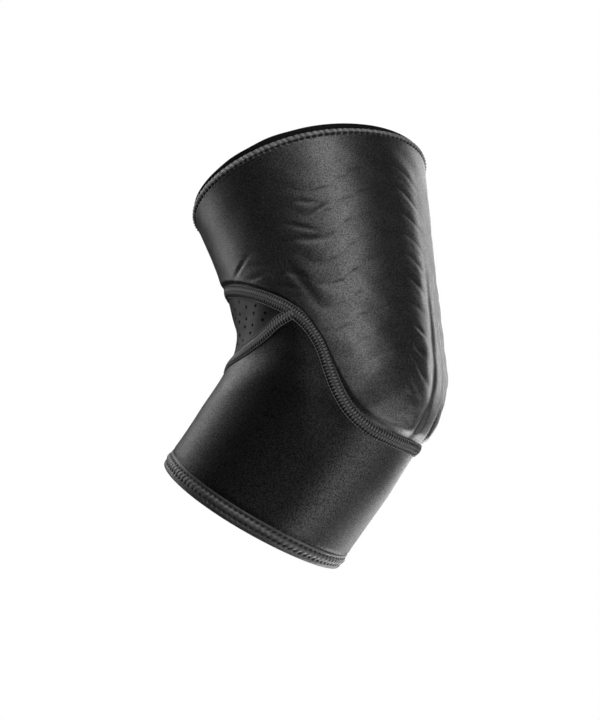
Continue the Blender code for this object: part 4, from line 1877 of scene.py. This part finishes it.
@dataclass(frozen=True)
class Softbox:
    """A soft rectangular lamp, placed round the object as the camera sees it."""

    name: str
    bearing: float
    height: float
    width: float
    watts: float
    tall: float = 0.52
    distance: float = 1.0

    def build(self, camera_azimuth: float) -> bpy.types.Object:
        """Builds the lamp, facing the object.

        Args:
            camera_azimuth: Bearing of the camera, from which the lamp's own is counted to the
                right.

        Returns:
            The lamp.
        """
        data = bpy.data.lights.new(self.name, "AREA")
        data.shape = "RECTANGLE"
        data.size, data.size_y = self.width, self.tall
        data.energy = self.watts
        back = direction(camera_azimuth + self.bearing, self.height)
        lamp = into_scene(bpy.data.objects.new(self.name, data))
        lamp.location = back * self.distance
        lamp.rotation_mode = "QUATERNION"
        lamp.rotation_quaternion = (-back).to_track_quat("-Z", "Y")
        return lamp


@dataclass
class Studio:
    """Camera, pale floor, white surroundings and soft lamps."""

    azimuth: float = 27.247
    elevation: float = -15.116
    roll: float = -0.296
    field_of_view: float = 32.0
    distance: float = 0.5901
    offset_right: float = -0.018496
    offset_up: float = -0.010209
    origin: tuple[float, float, float] = (0.001886, 0.0, 0.018028)
    floor_height: float = -0.90
    floor_radius: float = 6.0
    floor_rings: int = 23
    floor_columns: int = 96
    floor_glow: float = 0.72
    white: float = 1.0
    fill: float = 0.004
    softboxes: tuple[Softbox, ...] = (
        Softbox("front_right", 10.0, 10.0, 0.26, 4.6),
        Softbox("front", 0.0, 10.0, 0.26, 1.0),
        Softbox("front_high", -15.0, 40.0, 0.36, 5.0),
        Softbox("side_low", 72.0, -35.0, 0.40, 2.0),
        Softbox("front_low", 42.0, -48.0, 0.40, 4.4),
        Softbox("right_edge_front", 110.0, 10.0, 0.26, 1.0),
        Softbox("right_edge", 120.0, 10.0, 0.26, 3.4),
        Softbox("right_edge_high", 130.0, 40.0, 0.26, 1.5),
        Softbox("right_rear_low", 148.0, -20.0, 0.30, 2.2),
        Softbox("low_right_rear", 130.0, -50.0, 0.40, 2.2),
        Softbox("low_rear", 150.0, -50.0, 0.30, 4.8),
        Softbox("rear", 165.0, 10.0, 0.50, 4.2),
        Softbox("rear_high", 160.0, 40.0, 0.40, 1.6),
        Softbox("left_low_rear", -150.0, -50.0, 0.26, 1.6),
        Softbox("left_high", -125.0, 40.0, 0.36, 3.4),
        Softbox("left_edge", -116.0, 10.0, 0.26, 1.4),
    )

    def camera(self) -> bpy.types.Object:
        """Builds the camera of the photograph's angle and makes it the scene's.

        Its axes are the viewing direction's own right, up and back, rolled by the roll.

        Returns:
            The camera.
        """
        turn = math.radians(self.azimuth)
        back = direction(self.azimuth, self.elevation)
        right = Vector((math.cos(turn), math.sin(turn), 0.0))
        up = back.cross(right)
        target = Vector(self.origin) + right * self.offset_right + up * self.offset_up
        roll = math.radians(self.roll)
        side = right * math.cos(roll) + up * math.sin(roll)
        over = up * math.cos(roll) - right * math.sin(roll)
        data = bpy.data.cameras.new("photo_camera")
        data.lens = 0.5 * data.sensor_width / math.tan(math.radians(0.5 * self.field_of_view))
        data.clip_start, data.clip_end = 0.01, 50.0
        camera = into_scene(bpy.data.objects.new("photo_camera", data))
        place = target + back * self.distance
        camera.matrix_world = Matrix(
            [[side[i], over[i], back[i], place[i]] for i in range(3)] + [[0.0, 0.0, 0.0, 1.0]]
        )
        bpy.context.scene.camera = camera
        return camera

    def floor(self) -> bpy.types.Object:
        """Builds the round floor: rings of points at growing radii, pale, matt and evenly lit.

        It glows softly for the camera alone, so that it lights nothing.

        Returns:
            The floor.
        """
        rows, columns = self.floor_rings, self.floor_columns
        turn = 2.0 * math.pi * np.arange(columns) / columns
        radii = np.linspace(0.0, 1.0, rows + 1)[1:, None] ** 1.6 * self.floor_radius
        rings = np.stack(
            [radii * np.cos(turn), radii * np.sin(turn),
             np.full((rows, columns), self.floor_height)], axis=-1,
        )
        ring, column = np.meshgrid(np.arange(rows - 1), np.arange(columns), indexing="ij")
        here, beyond = ring * columns, (ring + 1) * columns
        following = (column + 1) % columns
        faces = np.stack(
            [here + column, beyond + column, beyond + following, here + following], axis=-1,
        ).reshape(-1, 4).tolist()
        mesh = bpy.data.meshes.new("studio_floor")
        mesh.from_pydata(rings.reshape(-1, 3).tolist(), [], faces + [list(range(columns))])
        mesh.update()
        bench = FinishBench("pale_floor")
        mottle = bench.noise(3.0, 3.0)
        colour = bench.blend(mottle, grey(0.82), grey(0.86))
        mesh.materials.append(bench.dress(
            colour, 0.9, mottle * 0.0001,
            {"Emission Color": grey(1.0), "Emission Strength": self.floor_glow},
        ))
        floor = into_scene(bpy.data.objects.new("studio_floor", mesh))
        floor.visible_diffuse = False
        floor.visible_glossy = False
        return floor

    def surroundings(self) -> None:
        """White where the camera looks past the object, and dim as a light on it."""
        world = bpy.data.worlds.new("studio_white")
        world.use_nodes = True
        tree = world.node_tree
        shown = tree.nodes["Background"]
        shown.inputs["Color"].default_value = grey(1.0)
        shown.inputs["Strength"].default_value = self.white
        light = tree.nodes.new("ShaderNodeBackground")
        light.inputs["Color"].default_value = grey(1.0)
        light.inputs["Strength"].default_value = self.fill
        rays = tree.nodes.new("ShaderNodeLightPath")
        mix = tree.nodes.new("ShaderNodeMixShader")
        tree.links.new(rays.outputs["Is Camera Ray"], mix.inputs[0])
        tree.links.new(light.outputs[0], mix.inputs[1])
        tree.links.new(shown.outputs[0], mix.inputs[2])
        tree.links.new(mix.outputs[0], tree.nodes["World Output"].inputs["Surface"])
        bpy.context.scene.world = world

    def build(self) -> None:
        """Builds the camera, the floor, the surroundings and the lamps."""
        self.camera()
        self.floor()
        self.surroundings()
        for softbox in self.softboxes:
            softbox.build(self.azimuth)
        bpy.context.scene.view_settings.view_transform = "Standard"


@dataclass
class ElbowBrace:
    """The whole brace: its panels, edges and seams."""

    form: SleeveForm = field(default_factory=SleeveForm)
    wardrobe: Wardrobe = field(default_factory=Wardrobe)

    def report(self, pieces: Sequence[bpy.types.Object]) -> None:
        """Logs the name and the number of faces of each piece."""
        for piece in pieces:
            log.info("%s: %d faces", piece.name, len(piece.data.polygons))

    def build(self) -> None:
        padded = PaddedPanel(self.form).build(self.wardrobe)
        knit = KnitPanel(self.form).build(self.wardrobe)
        vent = VentPanel(self.form).build(self.wardrobe)
        upper = UpperHem(
            self.form, "overlocked_upper_edge", "upper_hem", "overlocked_edge", Cloth.UPPER_EDGE,
            rim_way=0.0, height=0.0050, girth=0.358, stitches=UPPER_STITCHES,
            belly_run=0.0028, panel_cloth=Cloth.JERSEY, panel_from=0.0032,
        ).build(self.wardrobe)
        lower = LowerHem(
            self.form, "turned_lower_edge", "lower_hem", "turned_edge", Cloth.LOWER_EDGE,
            rim_way=1.0, height=0.0078, girth=0.292, stitches=LOWER_STITCHES,
            outer_rows=44, belly=0.00025,
        ).build(self.wardrobe)
        lip = UpperLip(self.form).build(self.wardrobe)
        curved = FlatlockSeam(SeamPath(self.form, PAD_SEAM.at), "curved_seam").build(self.wardrobe)
        crook = FlatlockSeam(
            SeamPath(self.form, VENT_SEAM.at, VENT_TIP_ANGLE, 360.0 - VENT_TIP_ANGLE),
            "crook_seam",
        ).build(self.wardrobe)
        self.report([padded, knit, vent, upper, lower, lip, *curved, *crook])


def main() -> None:
    """Loads the frame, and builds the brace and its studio."""
    logging.basicConfig(level=logging.INFO, format="%(name)s: %(message)s")
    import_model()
    ElbowBrace().build()
    Studio().build()


if __name__ == "__main__":
    main()
